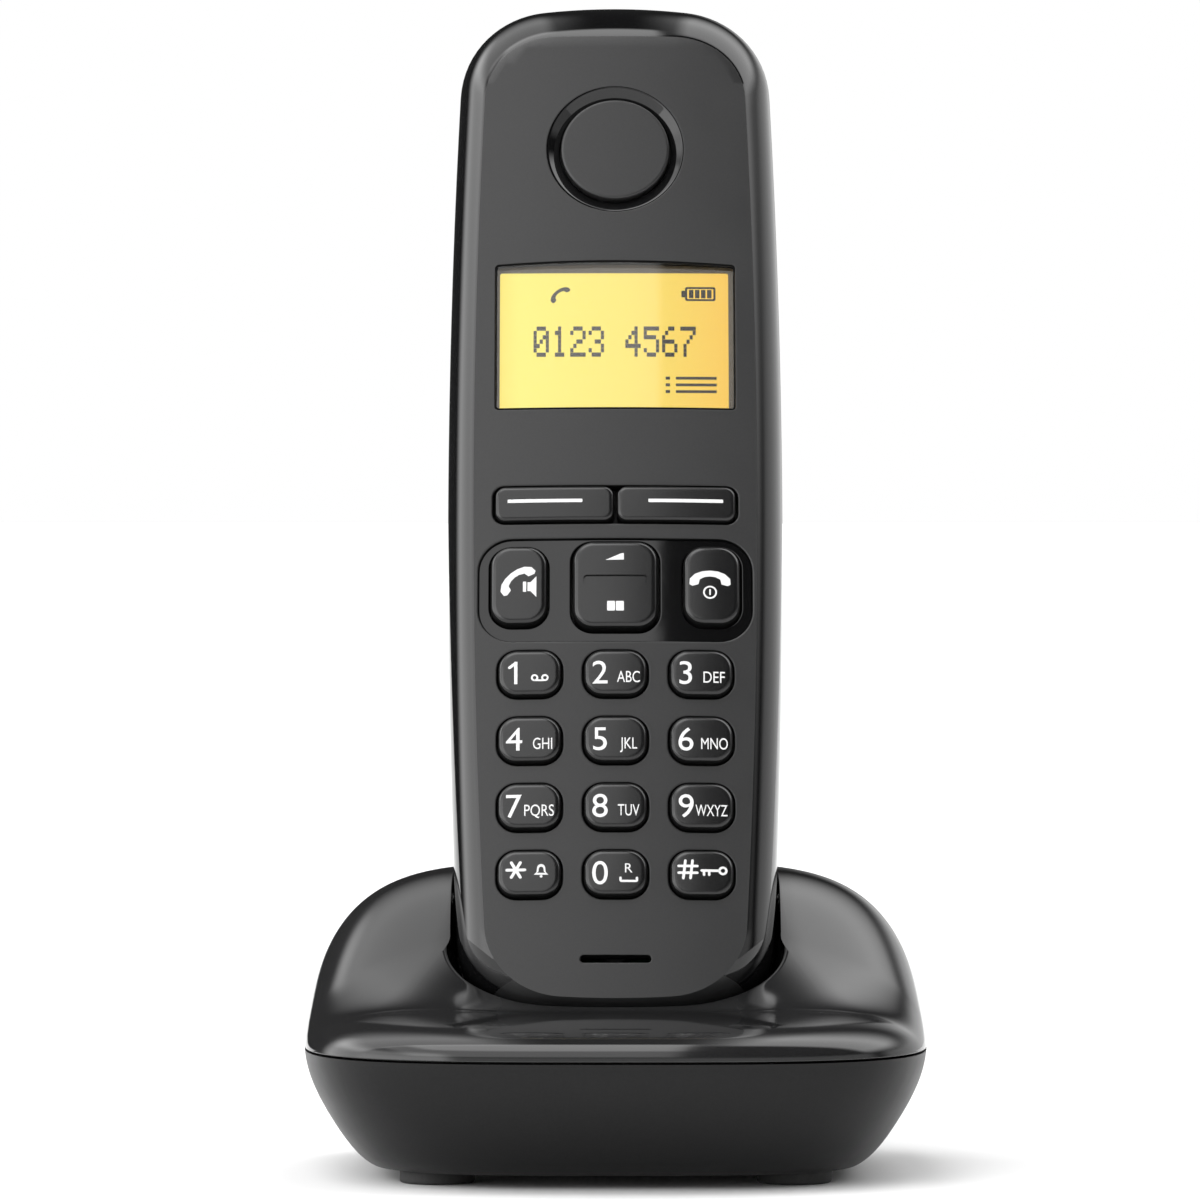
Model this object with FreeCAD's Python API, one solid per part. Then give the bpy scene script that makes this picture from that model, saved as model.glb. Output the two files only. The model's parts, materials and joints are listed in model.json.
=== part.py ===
import FreeCAD, Part
import math
import os

V = FreeCAD.Vector

# ---------------------------------------------------------------------------
# Driving dimensions, in millimetres and degrees
# ---------------------------------------------------------------------------
# The origin lies on the table, under the middle of the whole phone's box.
base_y = -10.9            # the base's own centre lies this far forward of the origin
lean = 22.8               # the docked handset leans back this far
foot_y = base_y - 6.2     # foot of the handset's axis, in the docked place
foot_z = 17.5

# Handset outline, seen from the front: a slim barrel with crowned ends
handset_w = 46.0
handset_l = 151.3
side_r = 1350.0           # radius of the long sides
side_z = 78.0             # height of the widest place
end_r = 85.0              # radius of the top and bottom ends
corner_r = 13.0
corner_shrink = 0.6       # the corners tighten by this share of the side inset

# Handset depth: its face is at -face_y, its back at +back_y
face_y = 13.0
back_y = 13.0
part_y = -2.0             # where the front and back shells meet
face_crown_r = 300.0      # the face is a shallow cylinder, its axis along the handset
back_crown_r = 900.0      # the back is bowed along its length
back_crown_z = 75.5
front_edge_w = 8.0        # width and depth of the front edge's rounded bevel
front_edge_d = 11.6
back_edge_w = 10.0
back_edge_d = 15.2
edge_power = 2.4
top_stretch = 1.64        # the front bevel is wider at the earpiece end
bottom_stretch = 0.44     # and narrow at the microphone end
wall = 1.7

# Keys
key_gap = 0.2             # between a cap and its hole
key_rise = 1.0            # how far a cap stands above the face
key_travel = 0.6
column_x = 11.6
row_z = 19.6              # lowest row
row_pitch = 9.6
digit_w, digit_h, digit_r = 8.5, 6.6, 2.6
digit_names = (("star", "0", "hash"), ("7", "8", "9"), ("4", "5", "6"), ("1", "2", "3"))
soft_z, soft_h, soft_span = 73.2, 5.5, 33.4
bezel_z, bezel_w, bezel_h, bezel_r = 60.7, 37.1, 14.8, 4.6
side_key_x, side_key_z, side_key_w, side_key_h = 13.1, 61.2, 7.7, 11.4
nav_z, nav_w, nav_h = 61.2, 11.5, 12.6
flange_y = -10.8          # front of the digit and soft keys' flanges
deep_flange_y = -10.4     # front of the talk, end and navigation keys' flanges

# Display, earpiece and microphone
window_w, window_z0, window_z1, window_arch = 32.9, 87.4, 108.9, 0.55
ear_z, ear_r, ear_disc_r = 126.4, 9.45, 7.5
mic_z, mic_w, mic_h = 7.6, 9.5, 1.05

# Handset boards and battery
mat_y0, mat_y1 = -9.2, -8.1
board_y0, board_y1 = -7.6, -6.6
board_z0, board_z1, board_w = 7.0, 111.4, 34.0
cell_r, cell_l, cell_x, cell_y, cell_z = 5.25, 44.5, 5.75, 5.6, 49.0
tub_w, tub_z0, tub_z1, tub_floor = 24.6, 47.0, 100.5, 0.1
door_w, door_z0, door_z1, door_t = 30.0, 43.0, 118.0, 1.6
door_gap = 0.15
screw_x, screw_z = 12.0, 114.4
receiver_r = 8.4
ringer_z, ringer_r = 131.1, 9.0
grille_pitch = 2.6        # of the three sound slots over the ringer
mic_capsule_z, mic_capsule_r = 10.6, 2.4

# Base: a superellipse plan, drawn in downwards below the parting line
base_a, base_b = 41.9, 39.5
plan_power = 3.4
front_power = 16.0        # the top rounds off crisply along the front
rear_power = 5.0          # and softly at the sides and rear
front_begins = 0.2        # sine of the bearing at which the front's crisp edge begins
bore_share = 0.12         # share of the plan that the top surface leaves open round its middle
parting_z = 17.3
parting_gap = 0.3
ledge_h = 5.3             # rise of the upper shell at the back of the front ledge
ledge_tilt = 0.08         # the ledge falls gently towards the front
crest_h = 23.6            # rise at the crest behind the handset
ledge_y, crest_y = -20.0, 12.0
base_wall = 2.0
lip_z0, lip_z1 = 13.4, 18.0   # inner lip of the lower shell that closes the parting groove
lower_profile = ((17.15, 0.0), (14.4, 0.5), (11.4, 1.65), (8.1, 3.45), (4.5, 5.9), (1.8, 8.9))

# Cradle well
well_gap = 0.45           # clearance round the handset
scoop = 1.0               # extra clearance of the rounded scoops either side of its front
scoop_y, scoop_half = -5.5, 6.0
cup_wall = 1.8

contact_x, contact_y = 9.5, 3.5
pin_foot, pin_top = -7.2, 0.8
foot_x, foot_spread_y, foot_r, foot_h = 23.8, 19.5, 5.0, 2.35
jack_x, jack_w, jack_h, jack_d = 15.0, 12.5, 9.4, 14.0
jack_inset = 5.3          # the sockets' mouths lie this far in from the rearmost line
socket_w, socket_h, socket_d = 9.8, 6.8, 9.0
board_top = 6.1
paging_z, paging_r = 11.5, 3.5
base_screw_x, base_screw_y = 25.5, 5.5

dock = FreeCAD.Placement(V(0, foot_y, foot_z), FreeCAD.Rotation(V(1, 0, 0), -lean))


# ---------------------------------------------------------------------------
# Plain solids
# ---------------------------------------------------------------------------
def rounded_block(centre, u, v, w, h, r, depth):
    """A w by h rectangle with corner radius r, in the plane of u and v, pushed along depth."""
    corners = ((1, 1), (-1, 1), (-1, -1), (1, -1))
    edges = []
    diagonal = r * math.sqrt(0.5)
    ends = []
    for i, (sx, sy) in enumerate(corners):
        c = centre + u * (sx * (w / 2 - r)) + v * (sy * (h / 2 - r))
        first, second = (u * sx, v * sy) if i % 2 == 0 else (v * sy, u * sx)
        start, stop = c + first * r, c + second * r
        middle = c + u * (sx * diagonal) + v * (sy * diagonal)
        edges.append(Part.Arc(start, middle, stop).toShape())
        ends.append((start, stop))
    for i in range(4):
        a, b = ends[i][1], ends[(i + 1) % 4][0]
        if a.distanceToPoint(b) > 1e-6:
            edges.append(Part.makeLine(a, b))
    wire = Part.Wire(Part.__sortEdges__(edges))
    return Part.Face(wire).extrude(depth)


def pad(x, z, w, h, r, y0, y1):
    """Rounded block standing off a handset plane: w across, h along, from depth y0 to y1."""
    return rounded_block(V(x, y0, z), V(1, 0, 0), V(0, 0, 1), w, h, r, V(0, y1 - y0, 0))


def slab(x, y, w, d, r, z0, z1):
    """Rounded block lying flat: w across, d deep, from height z0 to z1."""
    return rounded_block(V(x, y, z0), V(1, 0, 0), V(0, 1, 0), w, d, r, V(0, 0, z1 - z0))


def post(x, z, r, y0, y1):
    """Round post along the handset's depth."""
    return Part.makeCylinder(r, y1 - y0, V(x, y0, z), V(0, 1, 0))


def column(x, y, r, z0, z1):
    """Round post standing upright."""
    return Part.makeCylinder(r, z1 - z0, V(x, y, z0), V(0, 0, 1))


def fuse_all(shapes):
    return shapes[0].multiFuse(shapes[1:])


def round_edges(solid, radius, wanted):
    """Fillet the edges that lie whole in the place that wanted() tells."""
    return solid.makeFillet(radius, [e for e in solid.Edges if wanted(e.BoundBox)])


# ---------------------------------------------------------------------------
# Handset body
# ---------------------------------------------------------------------------
def circle_cross(c0, r0, c1, r1):
    """Where two circles cross, the crossing with the larger x."""
    dx, dz = c1[0] - c0[0], c1[1] - c0[1]
    d = math.hypot(dx, dz)
    along = (r0 * r0 - r1 * r1 + d * d) / (2 * d)
    off = math.sqrt(r0 * r0 - along * along)
    mx, mz = c0[0] + along * dx / d, c0[1] + along * dz / d
    return max((mx - off * dz / d, mz + off * dx / d), (mx + off * dz / d, mz - off * dx / d))


def outline(y, side, top, bottom):
    """Closed handset outline at depth y, drawn in at its sides, top and bottom."""
    r = corner_r - corner_shrink * side
    flank, flank_r = (handset_w / 2 - side_r, side_z), side_r - side
    crown, crown_r = (0.0, handset_l - end_r), end_r - top
    sole, sole_r = (0.0, end_r), end_r - bottom
    upper = circle_cross(flank, flank_r - r, crown, crown_r - r)
    lower = circle_cross(flank, flank_r - r, sole, sole_r - r)

    def angle(a, b):
        return math.atan2(b[1] - a[1], b[0] - a[0])

    a1, a2 = angle(flank, upper), angle(crown, upper)
    b1, b2 = angle(flank, lower), angle(sole, lower)

    def mirrored(c):
        return (-c[0], c[1])

    pi = math.pi
    arcs = (
        (flank, flank_r, b1, a1), (upper, r, a1, a2), (crown, crown_r, a2, pi - a2),
        (mirrored(upper), r, pi - a2, pi - a1), (mirrored(flank), flank_r, pi - a1, pi - b1),
        (mirrored(lower), r, pi - b1, pi - b2), (sole, sole_r, pi - b2, 2 * pi + b2),
        (lower, r, b2, b1),
    )

    def edge(c, radius, start, stop):
        points = [V(c[0] + radius * math.cos(t), y, c[1] + radius * math.sin(t))
                  for t in (start, (start + stop) / 2, stop)]
        return Part.Arc(*points).toShape()

    return Part.Wire([edge(*arc) for arc in arcs])


def edge_inset(q):
    """How far the rounded edge has drawn in at share q of its depth, as a share of its width."""
    return 1 - (1 - q ** edge_power) ** (1 / edge_power)


def scoop_at(y):
    """Extra clearance of the cradle's scoops at handset depth y."""
    t = min(1.0, abs(y - scoop_y) / scoop_half)
    return scoop * (1 - t * t) ** 2


def half_body(grow, front, scooped=False):
    """Front or back half of the handset's body, grown by grow or hollowed when it is negative."""
    width, depth, way = (front_edge_w, front_edge_d, -1) if front else (back_edge_w, back_edge_d, 1)
    top, bottom = (top_stretch, bottom_stretch) if front else (1.0, 1.0)
    sections = []
    overshoot = (-0.06,) if grow < 0 else ()
    for q in overshoot + (0.0, 0.25, 0.45, 0.62, 0.76, 0.87, 0.94, 0.98):
        y = part_y + way * q * (depth + grow)
        inset = width * edge_inset(max(q, 0.0))
        spread = grow + (scoop_at(y) if scooped else 0.0)
        sections.append(outline(y, inset - spread, top * inset - spread, bottom * inset - spread))
    body = Part.makeLoft(sections, True, False)
    return body.common(crown_cylinder(grow, front))


def crown_cylinder(grow, front):
    """The large cylinder whose skin is the handset's face or back."""
    if front:
        start = V(0, face_crown_r - face_y, -40)
        return Part.makeCylinder(face_crown_r + grow, handset_l + 80, start, V(0, 0, 1))
    start = V(-60, back_y - back_crown_r, back_crown_z)
    return Part.makeCylinder(back_crown_r + grow, 120, start, V(1, 0, 0))


def window_block(grow, y0, y1):
    """The display window's outline: square below, gently arched on top."""
    w, z0, z1 = window_w / 2 + grow, window_z0 - grow, window_z1 + grow
    points = (V(-w, y0, z1), V(-w, y0, z0), V(w, y0, z0), V(w, y0, z1))
    edges = [Part.makeLine(points[i], points[i + 1]) for i in range(3)]
    edges.append(Part.Arc(points[3], V(0, y0, z1 + window_arch), points[0]).toShape())
    return Part.Face(Part.Wire(edges)).extrude(V(0, y1 - y0, 0))


def digit_keys():
    """Name, x and z of every digit key."""
    for row, names in enumerate(digit_names):
        for col, name in enumerate(names):
            yield "key_" + name, (col - 1) * column_x, row_z + row * row_pitch


def soft_keys():
    """Name, x and width of the two soft keys."""
    width = (soft_span - 3 * key_gap) / 2 - key_gap
    for name, way in (("soft_key_left", -1), ("soft_key_right", 1)):
        yield name, way * (width + 2 * key_gap) / 2, width


def face_at(x):
    """Depth of the face surface at x."""
    return -face_y + x * x / (2 * face_crown_r)


front_out = -face_y - 5
front_in = -face_y + wall + 0.6


def make_front_shell():
    shell = half_body(0, True).cut(half_body(-wall, True))
    holes = [pad(x, z, digit_w + 2 * key_gap, digit_h + 2 * key_gap, digit_r + key_gap, front_out, front_in)
             for _, x, z in digit_keys()]
    holes.append(pad(0, soft_z, soft_span, soft_h, 1.6, front_out, front_in))
    holes.append(pad(0, bezel_z, bezel_w + 0.1, bezel_h + 0.1, bezel_r, front_out, -10.6))
    holes.append(window_block(0.05, front_out, front_in))
    holes.append(post(0, ear_z, ear_r + 0.05, front_out, front_in))
    holes.append(pad(0, mic_z, mic_w, mic_h, mic_h / 2 - 0.01, front_out, front_in))
    bosses = [post(way * screw_x, screw_z, 2.6, -face_y + wall - 0.1, part_y - 0.1) for way in (-1, 1)]
    screws = [post(way * screw_x, screw_z, 0.9, -9.5, part_y) for way in (-1, 1)]
    return fuse_all([shell.cut(Part.makeCompound(holes))] + bosses).cut(Part.makeCompound(screws))


def make_display_lens():
    return window_block(0, front_out, -11.4).common(crown_cylinder(-0.08, True))


def make_ear_ring():
    blank = post(0, ear_z, ear_r, front_out, -11.3).common(crown_cylinder(-0.02, True))
    depth, throat = 1.0, ear_disc_r + 0.2
    slope = ear_r - 0.15 - throat
    funnel = Part.makeCone(throat + slope * (front_out + face_y - depth) / -depth, throat,
                           -(front_out + face_y - depth), V(0, front_out, ear_z), V(0, 1, 0))
    return blank.cut(funnel).cut(post(0, ear_z, throat, front_out, -10))


def make_ear_disc():
    return post(0, ear_z, ear_disc_r, front_out, -11.2).common(crown_cylinder(-0.02, True))


def make_bezel():
    plate = pad(0, bezel_z, bezel_w, bezel_h, bezel_r - 0.05, front_out, -10.95)
    plate = plate.common(crown_cylinder(-0.45, True))
    holes = [pad(way * side_key_x, side_key_z, side_key_w + 0.4, side_key_h + 0.4, 3.0, front_out, -9)
             for way in (-1, 1)]
    holes.append(pad(0, nav_z, nav_w + 0.6, nav_h + 0.7, 3.0, front_out, -9))
    return plate.cut(Part.makeCompound(holes))


def make_cap(x, z, w, h, r, rise, round_r, lip, lip_front, lip_t=0.6):
    """A key: a cap with rounded top edges on a retaining flange."""
    top = face_at(x) - rise
    cap = pad(x, z, w, h, r, top, lip_front + 0.1)
    cap = round_edges(cap, round_r, lambda b: abs(b.YMin - top) < 1e-4 and abs(b.YMax - top) < 1e-4)
    flange = pad(x, z, w + 2 * lip, h + 2 * lip, r + lip, lip_front, lip_front + lip_t)
    return cap.fuse(flange).removeSplitter()


def make_nav_key():
    """The rocker, with a fine groove between its two halves."""
    key = make_cap(0, nav_z, nav_w, nav_h, 2.6, 1.1, 0.7, 0.35, deep_flange_y, 0.5)
    top = -face_y - 1.1
    groove_w, groove_z = 8.6, nav_z + 1.1
    cuts = [pad(0, groove_z, groove_w, 0.32, 0.15, top - 1, top + 0.25)]
    for way in (-1, 1):
        cuts.append(pad(way * (groove_w / 2 - 0.16), groove_z - 0.45, 0.32, 1.2, 0.15, top - 1, top + 0.25))
    return key.cut(fuse_all(cuts))


# ---------------------------------------------------------------------------
# Handset back, battery and insides
# ---------------------------------------------------------------------------
def door_block(grow, y0=4.0, y1=16.0):
    height = door_z1 - door_z0
    return pad(0, (door_z0 + door_z1) / 2, door_w + 2 * grow, height + 2 * grow, 2.2 + grow, y0, y1)


def make_back_shell():
    outer, cavity = half_body(0, False), half_body(-wall, False)
    shell = outer.cut(cavity).cut(door_block(door_gap))
    tub_l, tub_c = tub_z1 - tub_z0, (tub_z0 + tub_z1) / 2
    tub = pad(0, tub_c, tub_w + 2, tub_l + 2, 1.5, tub_floor - 1.0, 15)
    ledge = pad(0, (door_z0 + door_z1) / 2, 50, door_z1 - door_z0 + 5, 1.0, 9.2, 15)
    bosses = [post(way * screw_x, screw_z, 3.3, part_y + 0.1, 15) for way in (-1, 1)]
    inside = fuse_all([tub, ledge] + bosses).common(cavity)
    body = fuse_all([shell, inside])
    cuts = [pad(0, tub_c, tub_w, tub_l, 1.0, tub_floor, 16)]
    for way in (-1, 1):
        cuts.append(post(way * screw_x, screw_z, 1.1, -5, 16))
        cuts.append(post(way * screw_x, screw_z, 2.3, 6.0, 16))
        cuts.append(pad(way * contact_x, 0, 4.1, 6, 0.4, contact_y - 1.5, contact_y + 1.5))
    for i in (-1, 0, 1):
        cuts.append(pad(0, ringer_z + grille_pitch * i, 10.0, 1.1, 0.5, 8, 16))
    return body.cut(Part.makeCompound(cuts))


def make_battery_door():
    """The door: a slice of the back, with a rounded upper edge that it turns about."""
    door = half_body(0, False).common(door_block(0)).cut(crown_cylinder(-door_t, False))
    outer = back_y - (door_z1 - back_crown_z) ** 2 / (2 * back_crown_r)
    pivot_z, pivot_y = door_z1 - door_t / 2 - 0.1, outer - door_t / 2
    barrel = Part.makeCylinder(door_t / 2, door_w - 6, V(3 - door_w / 2, pivot_y, pivot_z), V(1, 0, 0))
    trim = pad(0, door_z1 + 5 - door_t / 2 - 0.1, 60, 10, 0.5, 4, 20)
    nail = Part.makeCylinder(6.0, 12.0, V(-6.0, back_y + 5.1, door_z0 + 5), V(1, 0, 0))
    print("battery door pivot", dock.multVec(V(0, pivot_y, pivot_z)))
    return door.cut(trim).fuse(barrel).removeSplitter().cut(nail)


def make_cell(way):
    body = Part.makeCylinder(cell_r, cell_l - 1.2, V(way * cell_x, cell_y, cell_z), V(0, 0, 1))
    tip = Part.makeCylinder(1.9, 1.2, V(way * cell_x, cell_y, cell_z + cell_l - 1.2), V(0, 0, 1))
    cell = body.fuse(tip).removeSplitter()
    if way > 0:
        cell.rotate(V(way * cell_x, cell_y, cell_z + cell_l / 2), V(1, 0, 0), 180)
    return cell


def make_springs():
    """A cone-shaped spring stands for each cell's negative contact."""
    low = Part.makeCone(3.6, 1.8, cell_z - tub_z0 - 0.2, V(-cell_x, cell_y, tub_z0 + 0.1), V(0, 0, 1))
    room = tub_z1 - cell_z - cell_l
    high = Part.makeCone(1.8, 3.6, room - 0.2, V(cell_x, cell_y, cell_z + cell_l + 0.1), V(0, 0, 1))
    return Part.makeCompound([low, high])


def make_plates():
    """The flat positive contacts at the other ends of the cells."""
    low = pad(cell_x, tub_z0 + 0.9, 8.0, 1.6, 0.2, cell_y - 3, cell_y + 3)
    room = tub_z1 - cell_z - cell_l
    high = pad(-cell_x, tub_z1 - room / 2, 8.0, room - 0.4, 0.2, cell_y - 3, cell_y + 3)
    return Part.makeCompound([low, high])


def make_domes():
    """Snap domes under every key."""
    spots = [(x, z) for _, x, z in digit_keys()]
    spots += [(x, soft_z) for _, x, _ in soft_keys()]
    spots += [(-side_key_x, side_key_z), (side_key_x, side_key_z), (0, nav_z - 4), (0, nav_z + 4)]
    return Part.makeCompound([Part.makeCone(2.5, 1.6, 0.35, V(x, board_y0 - 0.01, z), V(0, -1, 0))
                              for x, z in spots])


def make_handset_screws():
    screws = []
    for way in (-1, 1):
        head = post(way * screw_x, screw_z, 2.0, 6.05, 7.6)
        shank = post(way * screw_x, screw_z, 0.85, -7.5, 6.1)
        cross = [pad(way * screw_x, screw_z, w, h, 0.2, 6.9, 8) for w, h in ((2.2, 0.5), (0.5, 2.2))]
        screws.append(head.fuse(shank).removeSplitter().cut(fuse_all(cross)))
    return Part.makeCompound(screws)


def handset_parts():
    """Every handset node, in the handset's own frame."""
    parts = {
        "front_shell": make_front_shell(),
        "back_shell": make_back_shell(),
        "battery_door": make_battery_door(),
        "display_lens": make_display_lens(),
        "earpiece_ring": make_ear_ring(),
        "earpiece_cap": make_ear_disc(),
        "control_bezel": make_bezel(),
        "nav_key": make_nav_key(),
        "display_module": pad(0, 98.4, 34.4, 24.4, 0.6, -10.7, -9.3),
        "display_light_guide": pad(0, 98.4, 35.0, 25.0, 0.6, -9.2, -7.7),
        "keypad_mat": pad(0, 46.0, 32.0, 63.0, 3.0, mat_y0, mat_y1),
        "snap_domes": make_domes(),
        "main_board": pad(0, (board_z0 + board_z1) / 2, board_w, board_z1 - board_z0, 7.0,
                          board_y0, board_y1),
        "rf_shield": pad(0, 28.0, 24.0, 26.0, 1.0, board_y1 + 0.02, board_y1 + 2.6),
        "receiver_capsule": post(0, ear_z, receiver_r, -10.9, -7.6),
        "ringer_speaker": post(0, ringer_z, ringer_r, 4.2, 8.5),
        "microphone_capsule": post(0, mic_capsule_z, mic_capsule_r, -9.9, -7.9),
        "battery_cell_left": make_cell(-1),
        "battery_cell_right": make_cell(1),
        "battery_springs": make_springs(),
        "battery_plates": make_plates(),
        "handset_screws": make_handset_screws(),
        "charge_pads": Part.makeCompound([
            pad(way * contact_x, 1.75, 4.0, 1.6, 0.3, contact_y - 1.45, contact_y + 1.45)
            for way in (-1, 1)]),
    }
    for name, x, z in digit_keys():
        parts[name] = make_cap(x, z, digit_w, digit_h, digit_r, key_rise, 0.8, 0.35, flange_y)
    for name, x, width in soft_keys():
        parts[name] = make_cap(x, soft_z, width, soft_h - 2 * key_gap, 1.4, 0.7, 0.55, 0.1, flange_y)
    for name, way in (("talk_key", -1), ("end_key", 1)):
        parts[name] = make_cap(way * side_key_x, side_key_z, side_key_w, side_key_h, 2.8, key_rise, 0.8,
                               0.35, deep_flange_y, 0.5)
    return parts


# ---------------------------------------------------------------------------
# Base
# ---------------------------------------------------------------------------
def dome_height(y):
    """Rise of the base's top above its parting line, before it rounds off to the edge."""
    t = min(1.0, max(0.0, (y - ledge_y) / (crest_y - ledge_y)))
    ledge = ledge_h + ledge_tilt * (y - ledge_y)
    return ledge + (crest_h - ledge) * t * t * (3 - 2 * t)


def plan_point(a, b, turn, share=1.0):
    """Point of the superellipse plan at bearing turn, as x and y from the base's centre."""
    c, s = math.cos(turn), math.sin(turn)
    r = (abs(c) ** plan_power + abs(s) ** plan_power) ** (-1 / plan_power)
    return share * a * r * c, share * b * r * s


def dome_power(turn):
    """Exponent of the top's rounding at bearing turn."""
    t = min(1.0, max(0.0, (-math.sin(turn) - front_begins) / (1 - front_begins)))
    return rear_power + (front_power - rear_power) * t * t * (3 - 2 * t)


def dome_shares(turn):
    """Shares of the plan at which the top is set out at bearing turn, from its edge to the bore."""
    shares = [math.cos(math.radians(t)) ** (2 / dome_power(turn)) for t in (0, 6, 13, 21, 30, 40, 51, 63, 75)]
    last, steps = shares[-1], 6
    return shares + [last + (bore_share - last) * i / steps for i in range(1, steps + 1)]


def dome_half(inset, z0, lift):
    """Right half of the solid under the base's top surface, open round its middle."""
    a, b = base_a - inset, base_b - inset
    turns = [math.radians(-90 + 180 * i / 36) for i in range(37)]

    def top(turn, share):
        x, y = plan_point(a, b, turn, share)
        rise = (dome_height(y) + lift) * math.sqrt(max(0.0, 1 - share ** dome_power(turn)))
        return V(x, y + base_y, z0 + rise)

    lines = [[top(turn, share) for share in dome_shares(turn)] for turn in turns]
    surface = Part.BSplineSurface()
    surface.interpolate([list(ring) for ring in zip(*lines)])
    roof = surface.toShape()
    outer = min(roof.Edges, key=lambda e: e.BoundBox.ZMax)
    profiles = sorted((e for e in roof.Edges if e.BoundBox.XMax < 0.01), key=lambda e: e.BoundBox.YMin)
    inner = min((e for e in roof.Edges if e.BoundBox.XMax > 0.01), key=lambda e: e.BoundBox.XMax)
    bore_floor = Part.BSplineCurve()
    bore_floor.interpolate([V(*plan_point(a, b, turn, bore_share), z0) + V(0, base_y, 0) for turn in turns])
    bore_floor = bore_floor.toShape()
    bore = Part.makeRuledSurface(inner, bore_floor)
    front = [V(0, base_y - b, z0), V(0, base_y - b * bore_share, z0)]
    rear = [V(0, base_y + b, z0), V(0, base_y + b * bore_share, z0)]
    floor = Part.Face(Part.Wire(Part.__sortEdges__(
        [outer, bore_floor, Part.makeLine(*front), Part.makeLine(*rear)])))
    faces = [roof, bore, floor]
    for foot, profile in zip((front, rear), profiles):
        tip = max((v.Point for v in profile.Vertexes), key=lambda p: p.z)
        faces.append(Part.Face(Part.Wire(Part.__sortEdges__(
            [profile, Part.makeLine(*foot), Part.makeLine(foot[1], tip)]))))
    shell = Part.makeShell(faces)
    shell.sewShape()
    return Part.makeSolid(shell)


def dome(z0, inset=0.0, lift=0.0):
    half = dome_half(inset, z0, lift)
    other = half.mirror(V(0, 0, 0), V(1, 0, 0))
    return half.fuse(other).removeSplitter()


def plan_wire(inset, z):
    points = [V(*plan_point(base_a - inset, base_b - inset, math.radians(5 * i)), z) + V(0, base_y, 0)
              for i in range(72)]
    curve = Part.BSplineCurve()
    curve.interpolate(points, True)
    return Part.Wire(curve.toShape())


def plan_slab(inset, z0, z1):
    return Part.Face(plan_wire(inset, z0)).extrude(V(0, 0, z1 - z0))


def docked_body(grow, scooped):
    """The handset's body, grown, in its docked place."""
    body = half_body(grow, True, scooped).fuse(half_body(grow, False, scooped))
    body.Placement = dock
    return body


def make_upper_shell():
    z0 = parting_z + parting_gap / 2
    skin = dome(z0).cut(dome(z0 - 1, base_wall, 1 - base_wall))
    middle = slab(0, base_y, 60, 56, 8, 8, z0 + 0.5)
    plug = slab(0, base_y, 14, 13, 3, 8, 23)
    room = fuse_all([dome(z0), middle, plug])
    cup = docked_body(well_gap + cup_wall, True).common(room)
    body = fuse_all([skin, cup]).cut(docked_body(well_gap, True))
    holes = []
    for way in (-1, 1):
        hole = Part.makeCylinder(1.1, 12, V(way * contact_x, contact_y, -8), V(0, 0, 1))
        hole.Placement = dock
        holes.append(hole)
    body = body.cut(Part.makeCompound(holes))
    return max(body.Solids, key=lambda s: s.Volume)


def base_screw_places():
    return [(sx * base_screw_x, base_y + sy * base_screw_y) for sx in (-1, 1) for sy in (-1, 1)]


def make_lower_shell():
    outer = Part.makeLoft([plan_wire(inset, z) for z, inset in lower_profile], True, False)
    inner_profile = [(z, inset + base_wall) for z, inset in lower_profile[1:-1]]
    levels = [(parting_z + 2, base_wall), (lower_profile[0][0], base_wall)] + inner_profile + [(3.8, 8.9)]
    inner = Part.makeLoft([plan_wire(inset, z) for z, inset in levels], True, False)
    shell = outer.cut(inner)
    lip = plan_slab(base_wall + 1.4, lip_z0, lip_z1).fuse(plan_slab(base_wall - 0.5, lip_z0, lip_z0 + 2))
    body = shell.fuse(lip.cut(plan_slab(base_wall + 2.2, lip_z0 - 1, lip_z1 + 1)))
    rear = base_y + base_b
    cuts = [column(sx * foot_x, base_y + sy * foot_spread_y, foot_r + 0.1, 0, foot_h + 0.05)
            for sx in (-1, 1) for sy in (-1, 1)]
    for way in (-1, 1):
        cuts.append(Part.makeBox(jack_w + 0.3, 14, jack_h + 0.3,
                                 V(way * jack_x - jack_w / 2 - 0.15, rear - 9, board_top)))
    cuts.append(Part.makeCylinder(paging_r + 0.2, 8, V(0, rear - 5.5, paging_z), V(0, 1, 0)))
    for x, y in base_screw_places():
        cuts.append(column(x, y, 1.3, 0, 6))
        cuts.append(column(x, y, 2.3, 0, 3.0))
    return body.cut(Part.makeCompound(cuts))


def make_jack(way):
    """A modular socket set back in its opening in the rear wall."""
    rear = base_y + base_b
    x0, z0 = way * jack_x - jack_w / 2, board_top + 0.05
    mouth = rear - jack_inset
    body = Part.makeBox(jack_w, jack_d, jack_h, V(x0, mouth - jack_d, z0))
    hollow_z = z0 + (jack_h - socket_h) / 2
    hollow = Part.makeBox(socket_w, socket_d + 1, socket_h,
                          V(way * jack_x - socket_w / 2, mouth - socket_d, hollow_z))
    latch = Part.makeBox(3.4, socket_d + 1, 1.0, V(way * jack_x - 1.7, mouth - socket_d, hollow_z - 0.9))
    return body.cut(hollow.fuse(latch))


def make_contact(way):
    """Sprung contact pin under the handset's charging pad."""
    pin = Part.makeCylinder(0.8, pin_top - pin_foot, V(way * contact_x, contact_y, pin_foot), V(0, 0, 1))
    pin = round_edges(pin, 0.5, lambda b: b.ZMin > pin_top - 0.01)
    collar = Part.makeCylinder(1.5, 0.8, V(way * contact_x, contact_y, -3.6), V(0, 0, 1))
    return pin.fuse(collar).removeSplitter()


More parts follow.
